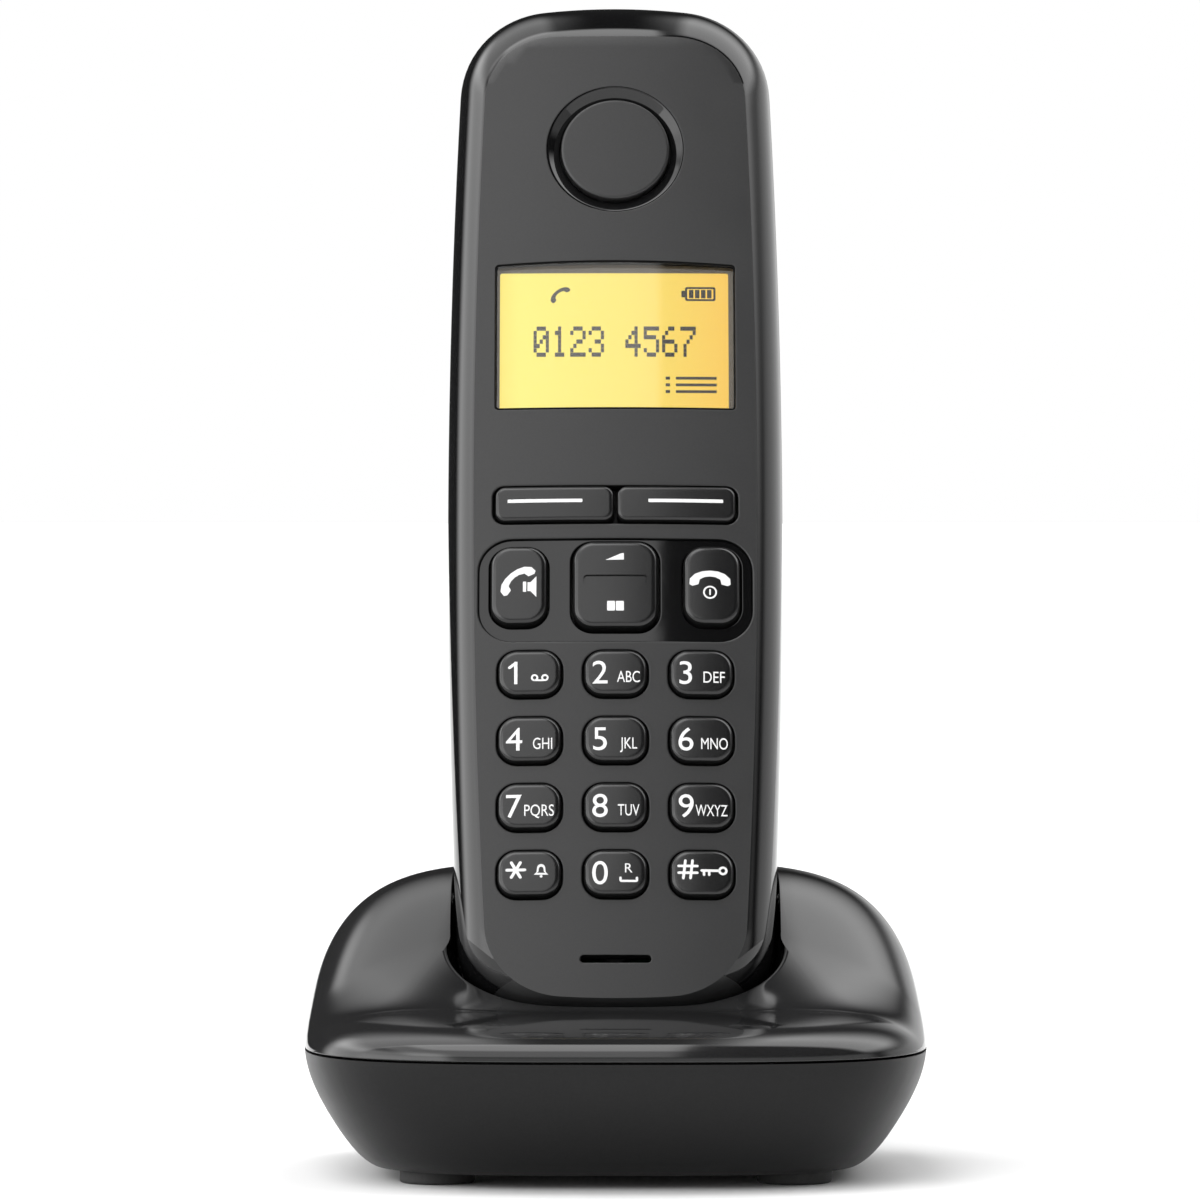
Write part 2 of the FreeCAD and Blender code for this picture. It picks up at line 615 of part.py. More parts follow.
def make_contact_holder():
    """Block under the cradle that guides both contact pins."""
    bar = rounded_block(V(0, contact_y, -8.4), V(1, 0, 0), V(0, 1, 0), 26, 5, 1, V(0, 0, 3.0))
    holes = [Part.makeCylinder(1.0, 6, V(way * contact_x, contact_y, -9), V(0, 0, 1)) for way in (-1, 1)]
    return bar.cut(Part.makeCompound(holes))


def make_base_screws():
    screws = []
    for x, y in base_screw_places():
        head = column(x, y, 2.1, 1.95, 2.95)
        shank = column(x, y, 1.1, 2.9, 8.0)
        slot = fuse_all([slab(x, y, w, d, 0.2, 1.3, 2.5) for w, d in ((2.4, 0.5), (0.5, 2.4))])
        screws.append(head.fuse(shank).removeSplitter().cut(slot))
    return Part.makeCompound(screws)


def base_parts():
    """Every base node, in the world frame; pieces built on the handset's axis are docked."""
    rear = base_y + base_b
    parts = {
        "base_upper_shell": make_upper_shell(),
        "base_lower_shell": make_lower_shell(),
        "base_board": slab(0, base_y, 46, 48, 4, board_top - 1.6, board_top),
        "base_feet": Part.makeCompound([
            round_edges(column(sx * foot_x, base_y + sy * foot_spread_y, foot_r, 0, foot_h), 0.4,
                        lambda b: b.ZMax < 0.01)
            for sx in (-1, 1) for sy in (-1, 1)]),
        "base_screws": make_base_screws(),
        "line_socket": make_jack(-1),
        "power_socket": make_jack(1),
        "paging_button": round_edges(Part.makeCylinder(paging_r, 5.6, V(0, rear - 6.4, paging_z), V(0, 1, 0)),
                                     0.5, lambda b: b.YMin > rear - 0.9),
        "paging_switch": slab(0, rear - 11.2, 6, 6, 0.5, board_top + 0.05, 14.5),
        "base_rf_shield": slab(-11, base_y - 15, 18, 14, 1, board_top + 0.02, board_top + 2.6),
        "line_transformer": slab(13, base_y - 15, 11, 13, 1, board_top + 0.02, board_top + 4.0),
        "base_capacitors": Part.makeCompound([column(x, base_y - 19, 1.9, board_top + 0.02, board_top + 4.6)
                                              for x in (1.2, 5.2)]),
        "base_aerials": Part.makeCompound([slab(way * 20.6, base_y + 9, 1.0, 16, 0.3, board_top + 0.02, 11.0)
                                           for way in (-1, 1)]),
    }
    docked = {"charge_contact_left": make_contact(-1), "charge_contact_right": make_contact(1),
              "contact_holder": make_contact_holder()}
    for name, shape in docked.items():
        shape.Placement = dock
        parts[name] = shape
    return parts


def main():
    os.makedirs("parts", exist_ok=True)
    parts = handset_parts()
    for shape in parts.values():
        shape.Placement = dock.multiply(shape.Placement)
    parts.update(base_parts())
    for name, shape in parts.items():
        shape.exportStep("parts/" + name + ".step")
    print("nav key pivot", dock.multVec(V(0, deep_flange_y, nav_z)))


main()
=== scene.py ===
import json
import math

import bmesh
import bpy
import numpy as np
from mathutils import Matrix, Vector
from mathutils.geometry import delaunay_2d_cdt


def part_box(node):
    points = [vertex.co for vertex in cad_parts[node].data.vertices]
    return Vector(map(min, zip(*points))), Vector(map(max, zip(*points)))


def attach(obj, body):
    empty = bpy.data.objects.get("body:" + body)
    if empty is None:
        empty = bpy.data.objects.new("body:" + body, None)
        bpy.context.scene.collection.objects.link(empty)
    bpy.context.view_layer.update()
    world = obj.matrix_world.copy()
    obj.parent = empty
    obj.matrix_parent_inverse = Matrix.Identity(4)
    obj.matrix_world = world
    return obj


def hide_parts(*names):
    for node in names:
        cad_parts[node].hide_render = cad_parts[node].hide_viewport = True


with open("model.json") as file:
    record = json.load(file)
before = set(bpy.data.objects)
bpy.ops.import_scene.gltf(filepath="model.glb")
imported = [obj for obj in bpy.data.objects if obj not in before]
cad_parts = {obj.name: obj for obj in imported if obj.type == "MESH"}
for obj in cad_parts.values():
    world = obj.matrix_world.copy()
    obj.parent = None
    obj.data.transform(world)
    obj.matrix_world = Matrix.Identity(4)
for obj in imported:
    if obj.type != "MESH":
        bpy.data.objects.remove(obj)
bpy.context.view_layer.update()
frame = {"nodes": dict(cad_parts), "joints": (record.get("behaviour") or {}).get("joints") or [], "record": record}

# ---- Sizes in millimetres. Helpers work in millimetres and make meshes in metres.
MM = 0.001
low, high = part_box("base_upper_shell")
base_a = (high.x - low.x) / 2 / MM
base_b = (high.y - low.y) / 2 / MM
base_y = (high.y + low.y) / 2 / MM
shell_z = 17.45

lift = np.array(next(j["axis"] for j in frame["joints"] if j["name"] == "handset_lift"))
press = np.array([0.0, lift[2], -lift[1]])
foot_y, foot_z = base_y - 6.2, 17.5

handset_w, handset_l = 46.0, 151.3
side_r, side_z, end_r, corner_r, corner_shrink = 1350.0, 78.0, 85.0, 13.0, 0.6
face_y, back_y, part_y = 13.0, 13.0, -2.0
face_crown_r, back_crown_r, back_crown_z = 300.0, 900.0, 75.5
front_edge_w, front_edge_d, back_edge_w, back_edge_d = 8.0, 11.6, 10.0, 15.2
edge_power, top_stretch, bottom_stretch = 2.4, 1.64, 0.44

key_gap, key_rise = 0.2, 1.0
column_x, row_z, row_pitch = 11.6, 19.6, 9.6
digit_w, digit_h, digit_r, digit_edge, digit_crown = 8.5, 6.6, 2.6, 0.75, 0.14
soft_z, soft_h, soft_span, soft_hole_r = 73.2, 5.5, 33.4, 1.6
soft_r, soft_rise, soft_edge, soft_crown = 1.4, 0.7, 0.6, 0.12
bezel_z, bezel_w, bezel_h, bezel_r = 60.7, 37.1, 14.8, 4.6
side_key_x, side_key_z, side_key_w, side_key_h = 13.1, 61.2, 7.7, 11.4
side_key_r, side_key_edge, side_key_crown = 2.8, 0.8, 0.14
nav_z, nav_w, nav_h, nav_r = 61.2, 11.5, 12.6, 2.8
nav_rise, nav_edge, nav_crown = 1.1, 0.8, 0.12
cap_flat, cap_skirt, groove_d, print_h = 0.15, 2.6, 0.3, 0.02
window_w, window_z0, window_z1, window_arch = 32.9, 87.4, 108.9, 0.55
lens_back, gasket_front, ink_y, picture_y, picture_z = -11.4, -10.9, -10.78, -10.75, 98.0
ear_z, ear_r, ear_disc_r, ear_gap = 126.4, 9.45, 7.5, 0.22
mic_z, mic_w, mic_h = 7.6, 9.5, 1.05
hole_d, rim_flat, seam, seam_d = 1.7, 0.12, 0.14, 1.2

plan_power, front_power, rear_power, front_begins = 3.4, 16.0, 5.0, 0.2
ledge_h, ledge_tilt, crest_h, ledge_y, crest_y = 5.3, 0.08, 23.6, -20.0, 12.0
well_gap, scoop, scoop_y, scoop_half = 0.45, 1.0, -5.5, 6.0


# ---- Mesh helpers
def dock(points):
    """Handset points, as x, depth y and height z along the handset, in the docked place."""
    points = np.asarray(points, float)
    x, y, z = points[..., 0], points[..., 1], points[..., 2]
    return np.stack([x, foot_y + y * press[1] + z * lift[1], foot_z + y * press[2] + z * lift[2]], -1)


def stay(points):
    return np.asarray(points, float)


def raised(flat, height, down=0.0):
    """Points of a flat loop at down below the surface that height tells."""
    return np.stack([flat[:, 0], height(flat[:, 0], flat[:, 1]) + down, flat[:, 1]], -1)


def put(name, data):
    """A new object made of data, in the scene."""
    made = bpy.data.objects.new(name, data)
    bpy.context.scene.collection.objects.link(made)
    return made


class Skin:
    """Collects strips and plates, and makes one object of them."""

    def __init__(self, place=dock):
        self.place, self.points, self.faces, self.looks, self.count = place, [], [], [], 0

    def add(self, points, faces, look=0):
        self.points.append(np.asarray(points, float).reshape(-1, 3))
        self.faces.extend([i + self.count for i in face] for face in faces)
        self.looks.extend(np.broadcast_to(look, len(faces)).tolist())
        self.count += len(self.points[-1])

    def strip(self, rings, look=0):
        """Quads between closed rings of equally many points. look is one number, or one for every point of a
        ring."""
        rings = np.asarray(rings, float)
        rows, cols = rings.shape[:2]
        faces = []
        for r in range(rows - 1):
            for c in range(cols):
                d = (c + 1) % cols
                faces.append([r * cols + c, r * cols + d, (r + 1) * cols + d, (r + 1) * cols + c])
        self.add(rings, faces, np.tile(np.broadcast_to(look, cols), rows - 1))

    def plate(self, outer, holes, height, step):
        """The region inside outer and outside holes, raised to the depth that height tells."""
        flat, faces = triangulate(outer, holes, step)
        self.add(raised(flat, height), faces)

    def make(self, name, materials, weld=True, sharp=35, out=(0, -1, 0.2)):
        """The object, with edges sharper than sharp degrees kept, and its faces turned to look out."""
        mesh = bpy.data.meshes.new(name)
        points = self.place(np.vstack(self.points)) * MM
        mesh.from_pydata(points.tolist(), [], self.faces)
        for material in materials:
            mesh.materials.append(material)
        mesh.polygons.foreach_set("material_index", self.looks)
        work = bmesh.new()
        work.from_mesh(mesh)
        if weld:
            bmesh.ops.remove_doubles(work, verts=work.verts, dist=2e-6)
        bmesh.ops.recalc_face_normals(work, faces=work.faces)
        if out is not None:
            away = sum(f.normal.dot(Vector(out)) * f.calc_area() for f in work.faces)
            if away < 0:
                bmesh.ops.reverse_faces(work, faces=work.faces)
        work.to_mesh(mesh)
        work.free()
        mesh.shade_smooth()
        mesh.set_sharp_from_angle(angle=math.radians(sharp))
        return put(name, mesh)


def inside(loop, points):
    """Which points lie inside the closed loop."""
    a, b = loop, np.roll(loop, -1, 0)
    px, pz = points[:, 0][:, None], points[:, 1][:, None]
    spans = (a[:, 1] > pz) != (b[:, 1] > pz)
    rise = np.where(np.abs(b[:, 1] - a[:, 1]) < 1e-12, 1e-12, b[:, 1] - a[:, 1])
    cross = px < (b[:, 0] - a[:, 0]) * (pz - a[:, 1]) / rise + a[:, 0]
    return (spans & cross).sum(1) % 2 == 1


def within(points, outer, holes):
    """Which points lie inside outer and outside every hole."""
    good = inside(outer, points)
    for hole in holes:
        good &= ~inside(hole, points)
    return good


def triangulate(outer, holes, step):
    """Points and triangles that fill outer but not holes, with inner points about step apart."""
    loops = [outer] + list(holes)
    rim = np.vstack(loops)
    lo, hi = outer.min(0), outer.max(0)
    row_share = 0.866
    rows = np.arange(lo[1] + step / 2, hi[1], step * row_share)
    grid = [(x, z) for i, z in enumerate(rows)
            for x in np.arange(lo[0] + step * (1 + 2 * (i % 2)) / 4, hi[0], step)]
    grid = np.array(grid).reshape(-1, 2)
    grid = grid[within(grid, outer, holes)]
    if len(grid):
        gap = np.min(np.hypot(grid[:, None, 0] - rim[None, :, 0], grid[:, None, 1] - rim[None, :, 1]), 1)
        grid = grid[gap > step / 2]
    edges, start = [], 0
    for loop in loops:
        n = len(loop)
        edges += [(start + i, start + (i + 1) % n) for i in range(n)]
        start += n
    every = np.vstack([rim, grid])
    verts, _, faces = delaunay_2d_cdt([Vector(p) for p in every], edges, [], 0, 1e-7)[:3]
    flat = np.array([(v.x, v.y) for v in verts])
    faces = [list(f) for f in faces]
    middles = np.array([flat[f].mean(0) for f in faces])
    return flat, [f for f, good in zip(faces, within(middles, outer, holes)) if good]


def rounded_rect(x, z, w, h, r, step=1.0):
    """Closed loop of a rounded rectangle, with points at most about step apart."""
    points = []
    corner_steps = 9
    for sx, sz, turn in ((1, 1, 0), (-1, 1, 90), (-1, -1, 180), (1, -1, 270)):
        cx, cz = x + sx * (w / 2 - r), z + sz * (h / 2 - r)
        for i in range(corner_steps + 1):
            t = math.radians(turn + 90 * i / corner_steps)
            points.append((cx + r * math.cos(t), cz + r * math.sin(t)))
    full = []
    for a, b in zip(points, points[1:] + points[:1]):
        n = max(1, int(math.dist(a, b) / step)) if math.dist(a, b) > 1e-9 else 0
        full += [(a[0] + (b[0] - a[0]) * i / n, a[1] + (b[1] - a[1]) * i / n) for i in range(n)]
    return np.array(full)


def fixed_rect(x, z, w, h, r, step=1.0):
    """The rounded rectangle as a loop of grow, with the same number of points at every grow."""
    middle = rounded_rect(x, z, w, h, r, step)
    cx, cz = w / 2 - r, h / 2 - r
    near = np.stack([np.clip(middle[:, 0] - x, -cx, cx) + x, np.clip(middle[:, 1] - z, -cz, cz) + z], -1)
    away = (middle - near) / r
    return lambda grow=0.0: middle + away * grow


def circle(x, z, r, n=96):
    turns = np.arange(n) * 2 * math.pi / n
    return np.stack([x + r * np.cos(turns), z + r * np.sin(turns)], -1)


def lip(skin, loop, top, radius, depth, deep=0):
    """Rounded edge of an opening, rolling in from the surface top and running down to depth, with the look
    deep from where it turns down. Returns the loop that the opening cuts out of the surface."""
    rows = [(radius + rim_flat, 0.0)]
    rows += [(radius * (1 - math.sin(t)), radius * (1 - math.cos(t)))
             for t in np.linspace(0, math.pi / 2, 6)]
    rows.append((0.0, depth))
    rings = [raised(loop(grow), top, down) for grow, down in rows]
    turn = 3
    skin.strip(rings[:turn + 1])
    skin.strip(rings[turn:], deep)
    return loop(radius + rim_flat)


# ---- The handset's form
ARC_STEPS = (56, 16, 30, 16, 56, 16, 30, 16)
arc_of = np.repeat(np.arange(8), ARC_STEPS)
share_of = np.concatenate([np.arange(n) / n for n in ARC_STEPS])


def circle_cross(x0, z0, r0, x1, z1, r1):
    """Where two circles cross, the crossing with the larger x."""
    dx, dz = x1 - x0, z1 - z0
    d = np.hypot(dx, dz)
    along = (r0 * r0 - r1 * r1 + d * d) / (2 * d)
    off = np.sqrt(r0 * r0 - along * along)
    mx, mz = x0 + along * dx / d, z0 + along * dz / d
    way = np.where(dz > 0, 1.0, -1.0)
    return mx + way * off * dz / d, mz - way * off * dx / d


def edge_inset(q):
    """How far the rounded edge has come in at share q of its depth, as a share of its width."""
    return 1 - (1 - q ** edge_power) ** (1 / edge_power)


def outline_parts(side, top, bottom):
    """Centres, radii and end angles of the outline's eight arcs."""
    r = corner_r - corner_shrink * side
    flank_x, flank_r = handset_w / 2 - side_r, side_r - side
    crown_z, crown_r = handset_l - end_r, end_r - top
    sole_r = end_r - bottom
    ux, uz = circle_cross(flank_x, side_z, flank_r - r, 0.0, crown_z, crown_r - r)
    lx, lz = circle_cross(flank_x, side_z, flank_r - r, 0.0, end_r, sole_r - r)
    a1, a2 = np.arctan2(uz - side_z, ux - flank_x), np.arctan2(uz - crown_z, ux)
    b1, b2 = np.arctan2(lz - side_z, lx - flank_x), np.arctan2(lz - end_r, lx)
    one = np.ones_like(side)
    pi = math.pi
    return (
        (flank_x * one, side_z * one, flank_r, b1, a1), (ux, uz, r, a1, a2),
        (0 * one, crown_z * one, crown_r, a2, pi - a2), (-ux, uz, r, pi - a2, pi - a1),
        (-flank_x * one, side_z * one, flank_r, pi - a1, pi - b1), (-lx, lz, r, pi - b1, pi - b2),
        (0 * one, end_r * one, sole_r, pi - b2, 2 * pi + b2), (lx, lz, r, b2, b1),
    )


def outline(side, top, bottom):
    """x and z of every station round the outline; the insets are arrays that end in the stations."""
    side, top, bottom = (np.broadcast_to(np.asarray(v, float), np.broadcast(v, arc_of).shape)
                         for v in (side, top, bottom))
    parts = outline_parts(side, top, bottom)
    wanted = [arc_of == k for k in range(8)]
    cx, cz, r, start, stop = (np.select([np.broadcast_to(w, side.shape) for w in wanted],
                                        [p[i] for p in parts]) for i in range(5))
    turn = start + (stop - start) * share_of
    return cx + r * np.cos(turn), cz + r * np.sin(turn)


def face_at(x, z=0.0):
    """Depth of the face, which is crowned across and straight along."""
    return -face_y + x * x / (2 * face_crown_r)


def back_at(z):
    """Depth of the back, which is crowned along and straight across."""
    return back_y - (z - back_crown_z) ** 2 / (2 * back_crown_r)


def body_points(q, front, grow=0.0, spread=0.0):
    """Points of the handset's rounded edge at share q of its depth, grown by grow in depth and by spread
    sideways."""
    width, depth, way = (front_edge_w, front_edge_d, -1) if front else (back_edge_w, back_edge_d, 1)
    top, bottom = (top_stretch, bottom_stretch) if front else (1.0, 1.0)
    q = np.broadcast_to(q, np.broadcast(q, arc_of).shape)
    inset = width * edge_inset(q)
    x, z = outline(inset - spread, top * inset - spread, bottom * inset - spread)
    return np.stack([x, part_y + way * q * (depth + grow), z], -1)


def bisect(low, high, past):
    """Where past turns true between low and high."""
    for _ in range(40):
        middle = (low + high) / 2
        over = past(middle)
        low, high = np.where(over, low, middle), np.where(over, middle, high)
    return (low + high) / 2


def crease(front, points, gap=0.0):
    """The share of depth at which the rounded edge, as points tells it, meets the face or the back grown by
    gap, at each station."""
    def past(q):
        p = points(q)
        return p[:, 1] < face_at(p[:, 0]) - gap if front else p[:, 1] > back_at(p[:, 2]) + gap
    return bisect(np.full(arc_of.shape, 0.4), np.full(arc_of.shape, 0.9995), past)


# ---- Materials
def blank(name):
    """A new material, with its node tree and shader."""
    made = bpy.data.materials.new(name)
    made.use_nodes = True
    return made, made.node_tree, made.node_tree.nodes["Principled BSDF"]


def dial(node, values):
    """Sets each named socket of a node to its value."""
    for socket, value in values.items():
        node.inputs[socket].default_value = value


def noise(tree, size, detail):
    """Strength of a noise texture, size in millimetres, fixed to the object."""
    where, tex = tree.nodes.new("ShaderNodeTexCoord"), tree.nodes.new("ShaderNodeTexNoise")
    dial(tex, {"Scale": 1 / (size * MM), "Detail": detail})
    tree.links.new(where.outputs["Object"], tex.inputs["Vector"])
    return tex.outputs["Fac"]


def stretched(tree, source, start, stop, low, high, kind="LINEAR"):
    """The source, with its range from start to stop mapped to the range from low to high."""
    span = tree.nodes.new("ShaderNodeMapRange")
    span.interpolation_type = kind
    dial(span, {"From Min": start, "From Max": stop, "To Min": low, "To Max": high})
    tree.links.new(source, span.inputs["Value"])
    return span.outputs["Result"]


def axes(tree, space):
    """The x, y and z of the place or direction that is looked up."""
    where, split = tree.nodes.new("ShaderNodeTexCoord"), tree.nodes.new("ShaderNodeSeparateXYZ")
    tree.links.new(where.outputs[space], split.inputs[0])
    return [split.outputs[axis] for axis in "XYZ"]


def material(name, colour, rough, metal=0.0, coat=0.0, specular=0.5, grain=0.3, grain_depth=0.004,
             mottle=0.1, smear=0.0):
    """Moulded plastic, metal or rubber. grain is the size of its texture in millimetres, grain_depth its
    height, mottle how much its colour varies, and smear how much its roughness does."""
    made, tree, shader = blank(name)
    dial(shader, {"Base Color": (*colour, 1), "Roughness": rough, "Metallic": metal, "Coat Weight": coat,
                  "Coat Roughness": 0.05, "Specular IOR Level": specular})
    shown, wipe_size, wipe_detail, grain_detail = (0.3, 0.7), 9.0, 5.0, 3.0
    if smear:
        wipes = noise(tree, wipe_size, wipe_detail)
        rough_range = rough * (1 - smear), rough * (1 + smear)
        tree.links.new(stretched(tree, wipes, *shown, *rough_range), shader.inputs["Roughness"])
    mix = tree.nodes.new("ShaderNodeMix")
    mix.data_type = "RGBA"
    dial(mix, {"A": (*[c * (1 - mottle) for c in colour], 1), "B": (*[c * (1 + mottle) for c in colour], 1)})
    clouds = noise(tree, 1.7 * grain, grain_detail)
    tree.links.new(stretched(tree, clouds, *shown, 0.0, 1.0), mix.inputs["Factor"])
    tree.links.new(mix.outputs["Result"], shader.inputs["Base Color"])
    bump = tree.nodes.new("ShaderNodeBump")
    dial(bump, {"Strength": 1.0, "Distance": grain_depth * MM})
    tree.links.new(noise(tree, grain, grain_detail), bump.inputs["Height"])
    tree.links.new(bump.outputs["Normal"], shader.inputs["Normal"])
    return made


def glass(name):
    """Clear pane with a faint reflection, and a roughness that varies as if it had been wiped."""
    made, tree, shader = blank(name)
    dial(shader, {"Base Color": (1, 1, 1, 1), "Transmission Weight": 1.0, "IOR": 1.49,
                  "Specular IOR Level": 0.18})
    wipe_size, wipe_detail, most_rough = 6.0, 2.0, 0.015
    wipes = noise(tree, wipe_size, wipe_detail)
    tree.links.new(stretched(tree, wipes, 0.0, 1.0, 0.0, most_rough), shader.inputs["Roughness"])
    return made


matte_face = material("matte_face", (0.014, 0.014, 0.0143), 0.36, grain=0.16, grain_depth=0.006, mottle=0.12,
                      smear=0.08)
gloss_black = material("gloss_black", (0.004, 0.004, 0.0042), 0.05, grain=4.0, grain_depth=0.003,
                       mottle=0.05, smear=0.25)
base_gloss = material("base_gloss", (0.013, 0.013, 0.0133), 0.08, grain=5.0, grain_depth=0.003,
                      mottle=0.05, smear=0.25)
base_satin = material("base_satin", (0.0072, 0.0072, 0.0074), 0.36, specular=0.2, grain=0.22,
                      grain_depth=0.008, mottle=0.12, smear=0.10)
key_satin = material("key_satin", (0.007, 0.007, 0.0072), 0.20, grain=0.18, grain_depth=0.003, smear=0.12)
# Painted shade: a matte near-black with little reflection, put on the openings' walls, the keys' flanks and the
# display pane's edge to stand for the shadow that falls there.
painted_shade_black = material("painted_shade_black", (0.003, 0.003, 0.003), 0.55, specular=0.12, grain=0.2)
white_print = material("white_print", (0.70, 0.70, 0.70), 0.45, grain=0.08, grain_depth=0.002, mottle=0.03)
window_glass = glass("window_glass")
segment_ink = material("segment_ink", (0.015, 0.008, 0.003), 0.6, grain=0.1, grain_depth=0.001)
gasket = material("gasket", (0.13, 0.10, 0.06), 0.6, mottle=0.06)
slot_finish = {
    "back_plastic": material("back_satin", (0.024, 0.024, 0.025), 0.33, grain=0.22, grain_depth=0.008,
                             mottle=0.12, smear=0.10),
    "base_satin": base_satin,
    "mat_rubber": material("mat_rubber", (0.05, 0.05, 0.05), 0.7, grain_depth=0.01),
    "dome_steel": material("dome_steel", (0.6, 0.6, 0.6), 0.25, metal=1.0, grain_depth=0.002, mottle=0.06),
    "circuit_board": material("circuit_board", (0.003, 0.022, 0.009), 0.35, grain=0.8, grain_depth=0.01,
                              mottle=0.3),
    "capsule": material("capsule", (0.02, 0.02, 0.02), 0.6, specular=0.1, grain=0.4, grain_depth=0.003,
                        mottle=0.05),
    "cell_wrap": material("cell_wrap", (0.03, 0.16, 0.07), 0.28, coat=0.5, grain=0.6, mottle=0.05),
    "contact_metal": material("contact_metal", (0.83, 0.66, 0.30), 0.22, metal=1.0, grain=0.4,
                              grain_depth=0.003, mottle=0.05),
    "screw_steel": material("screw_steel", (0.55, 0.55, 0.56), 0.3, metal=1.0, mottle=0.06),
    "foot_rubber": material("foot_rubber", (0.02, 0.02, 0.02), 0.75, grain=0.35, grain_depth=0.015,
                            mottle=0.15),
    "socket_plastic": material("socket_plastic", (0.015, 0.015, 0.015), 0.3),
    "button_plastic": material("button_plastic", (0.05, 0.05, 0.052), 0.35, grain=0.2),
    "component": material("component", (0.02, 0.02, 0.025), 0.4, grain_depth=0.005),
    "lcd": material("lcd_stack", (0.55, 0.42, 0.18), 0.3, grain=0.4, grain_depth=0.002, mottle=0.05),
    "light_guide": material("light_guide", (0.8, 0.76, 0.62), 0.3, grain=0.4, grain_depth=0.002,
                            mottle=0.03),
}


# ---- Handset front
def digit_places():
    """Name and middle of each of the twelve digit keys."""
    names = (("star", "0", "hash"), ("7", "8", "9"), ("4", "5", "6"), ("1", "2", "3"))
    for row, line in enumerate(names):
        for col, name in enumerate(line):
            yield name, (col - 1) * column_x, row_z + row * row_pitch


def window_loop(inset=0.0):
    """The display window as a loop of grow: square below, gently arched on top."""
    tall, corner = window_z1 - window_z0, 0.5
    flat = fixed_rect(0, (window_z0 + window_z1) / 2, window_w - 2 * inset, tall - 2 * inset, corner)

    def arched(grow=0.0):
        p = flat(grow)
        height = np.clip((p[:, 1] - window_z0) / tall, 0, 1)
        p[:, 1] += window_arch * height * (1 - (2 * p[:, 0] / window_w) ** 2)
        return p
    return arched


def edge_rings(q_end, rows):
    """Rings of the front's rounded edge, from inside the parting seam to q_end."""
    phi_end = np.arcsin(q_end ** (edge_power / 2))
    bevel = seam * 0.3
    rings = []
    for inset, step in ((seam_d, 0.0), (seam, 0.0), (bevel, bevel)):
        x, z = outline(inset, inset, inset)
        rings.append(np.stack([x, np.full_like(x, part_y - step), z], -1))
    for t in np.linspace(0.0, 1.0, rows):
        p = body_points(np.sin(phi_end * t) ** (2 / edge_power), True)
        p[:, 1] = np.minimum(p[:, 1], part_y - seam)
        rings.append(p)
    return rings


def build_front_shell():
    """Glossy rounded edge, matte at the foot, and the matte face with openings whose walls are painted shade
    black.
    """
    skin = Skin()
    rings = edge_rings(crease(True, lambda q: body_points(q, True)), 40)
    matte, gloss, black = range(3)
    foot = (arc_of == 6) | ((arc_of == 5) & (share_of > 0.5)) | ((arc_of == 7) & (share_of < 0.5))
    skin.strip(rings, np.where(foot, matte, gloss))
    outer = rings[-1][:, [0, 2]]
    hole_w, hole_h, hole_r = digit_w + 2 * key_gap, digit_h + 2 * key_gap, digit_r + key_gap
    openings = [(fixed_rect(x, z, hole_w, hole_h, hole_r), 0.22, hole_d) for _, x, z in digit_places()]
    openings += [
        (fixed_rect(0, soft_z, soft_span, soft_h, soft_hole_r), 0.25, hole_d),
        (fixed_rect(0, bezel_z, bezel_w + 0.1, bezel_h + 0.1, bezel_r), 0.25, 1.2),
        (window_loop(-0.06), 0.10, 2.2),
        (lambda grow: circle(0, ear_z, ear_r + 0.04 + grow), 0.10, hole_d),
        (fixed_rect(0, mic_z, mic_w, mic_h, mic_h / 2 - 0.02), 0.12, hole_d),
    ]
    # Where the lips roll down into the openings they take the painted shade black: painted shadow in the gaps.
    holes = [lip(skin, loop, face_at, radius, depth, black) for loop, radius, depth in openings]
    skin.plate(outer, holes, face_at, 1.5)
    piece = skin.make("handset_front", [matte_face, gloss_black, painted_shade_black], sharp=26)
    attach(piece, "handset")
    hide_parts("front_shell")


def lathe(skin, profile, x, z, fill=False):
    """Rings about the axis through x and z, at radius and depth below the face, filled in the middle."""
    sides = 120
    skin.strip([raised(circle(x, z, r, sides), face_at, down) for r, down in profile])
    if fill:
        r, down = profile[-1]
        skin.plate(circle(x, z, r, sides), [], lambda px, pz: face_at(px) + down, 0.9)


def build_earpiece():
    """Countersunk ring, and the disc that stands in its middle."""
    ring = Skin()
    throat = ear_disc_r + ear_gap
    outer, inner = (ear_r - 0.22, 0.06), (throat + 0.12, 1.0)
    funnel = [(outer[0] + (inner[0] - outer[0]) * t, outer[1] + (inner[1] - outer[1]) * t)
              for t in (0, 0.06, 0.2, 0.5, 0.8, 0.94, 1)]
    lathe(ring, [(ear_r, 1.6), (ear_r, 0.06), (ear_r - 0.04, 0.0), (ear_r - 0.14, 0.01)] + funnel
          + [(throat + 0.03, 1.08), (throat, 1.18), (throat, hole_d)], 0, ear_z)
    piece = ring.make("earpiece_surround", [gloss_black])
    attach(piece, "handset")
    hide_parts("earpiece_ring")
    disc = Skin()
    lathe(disc, [(ear_disc_r, 1.6), (ear_disc_r, 0.30), (ear_disc_r - 0.05, 0.14), (ear_disc_r - 0.16, 0.04),
                 (ear_disc_r - 0.30, 0.0), (ear_disc_r - 0.45, 0.0)], 0, ear_z, fill=True)
    piece = disc.make("earpiece_disc", [matte_face])
    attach(piece, "handset")
    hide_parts("earpiece_cap")


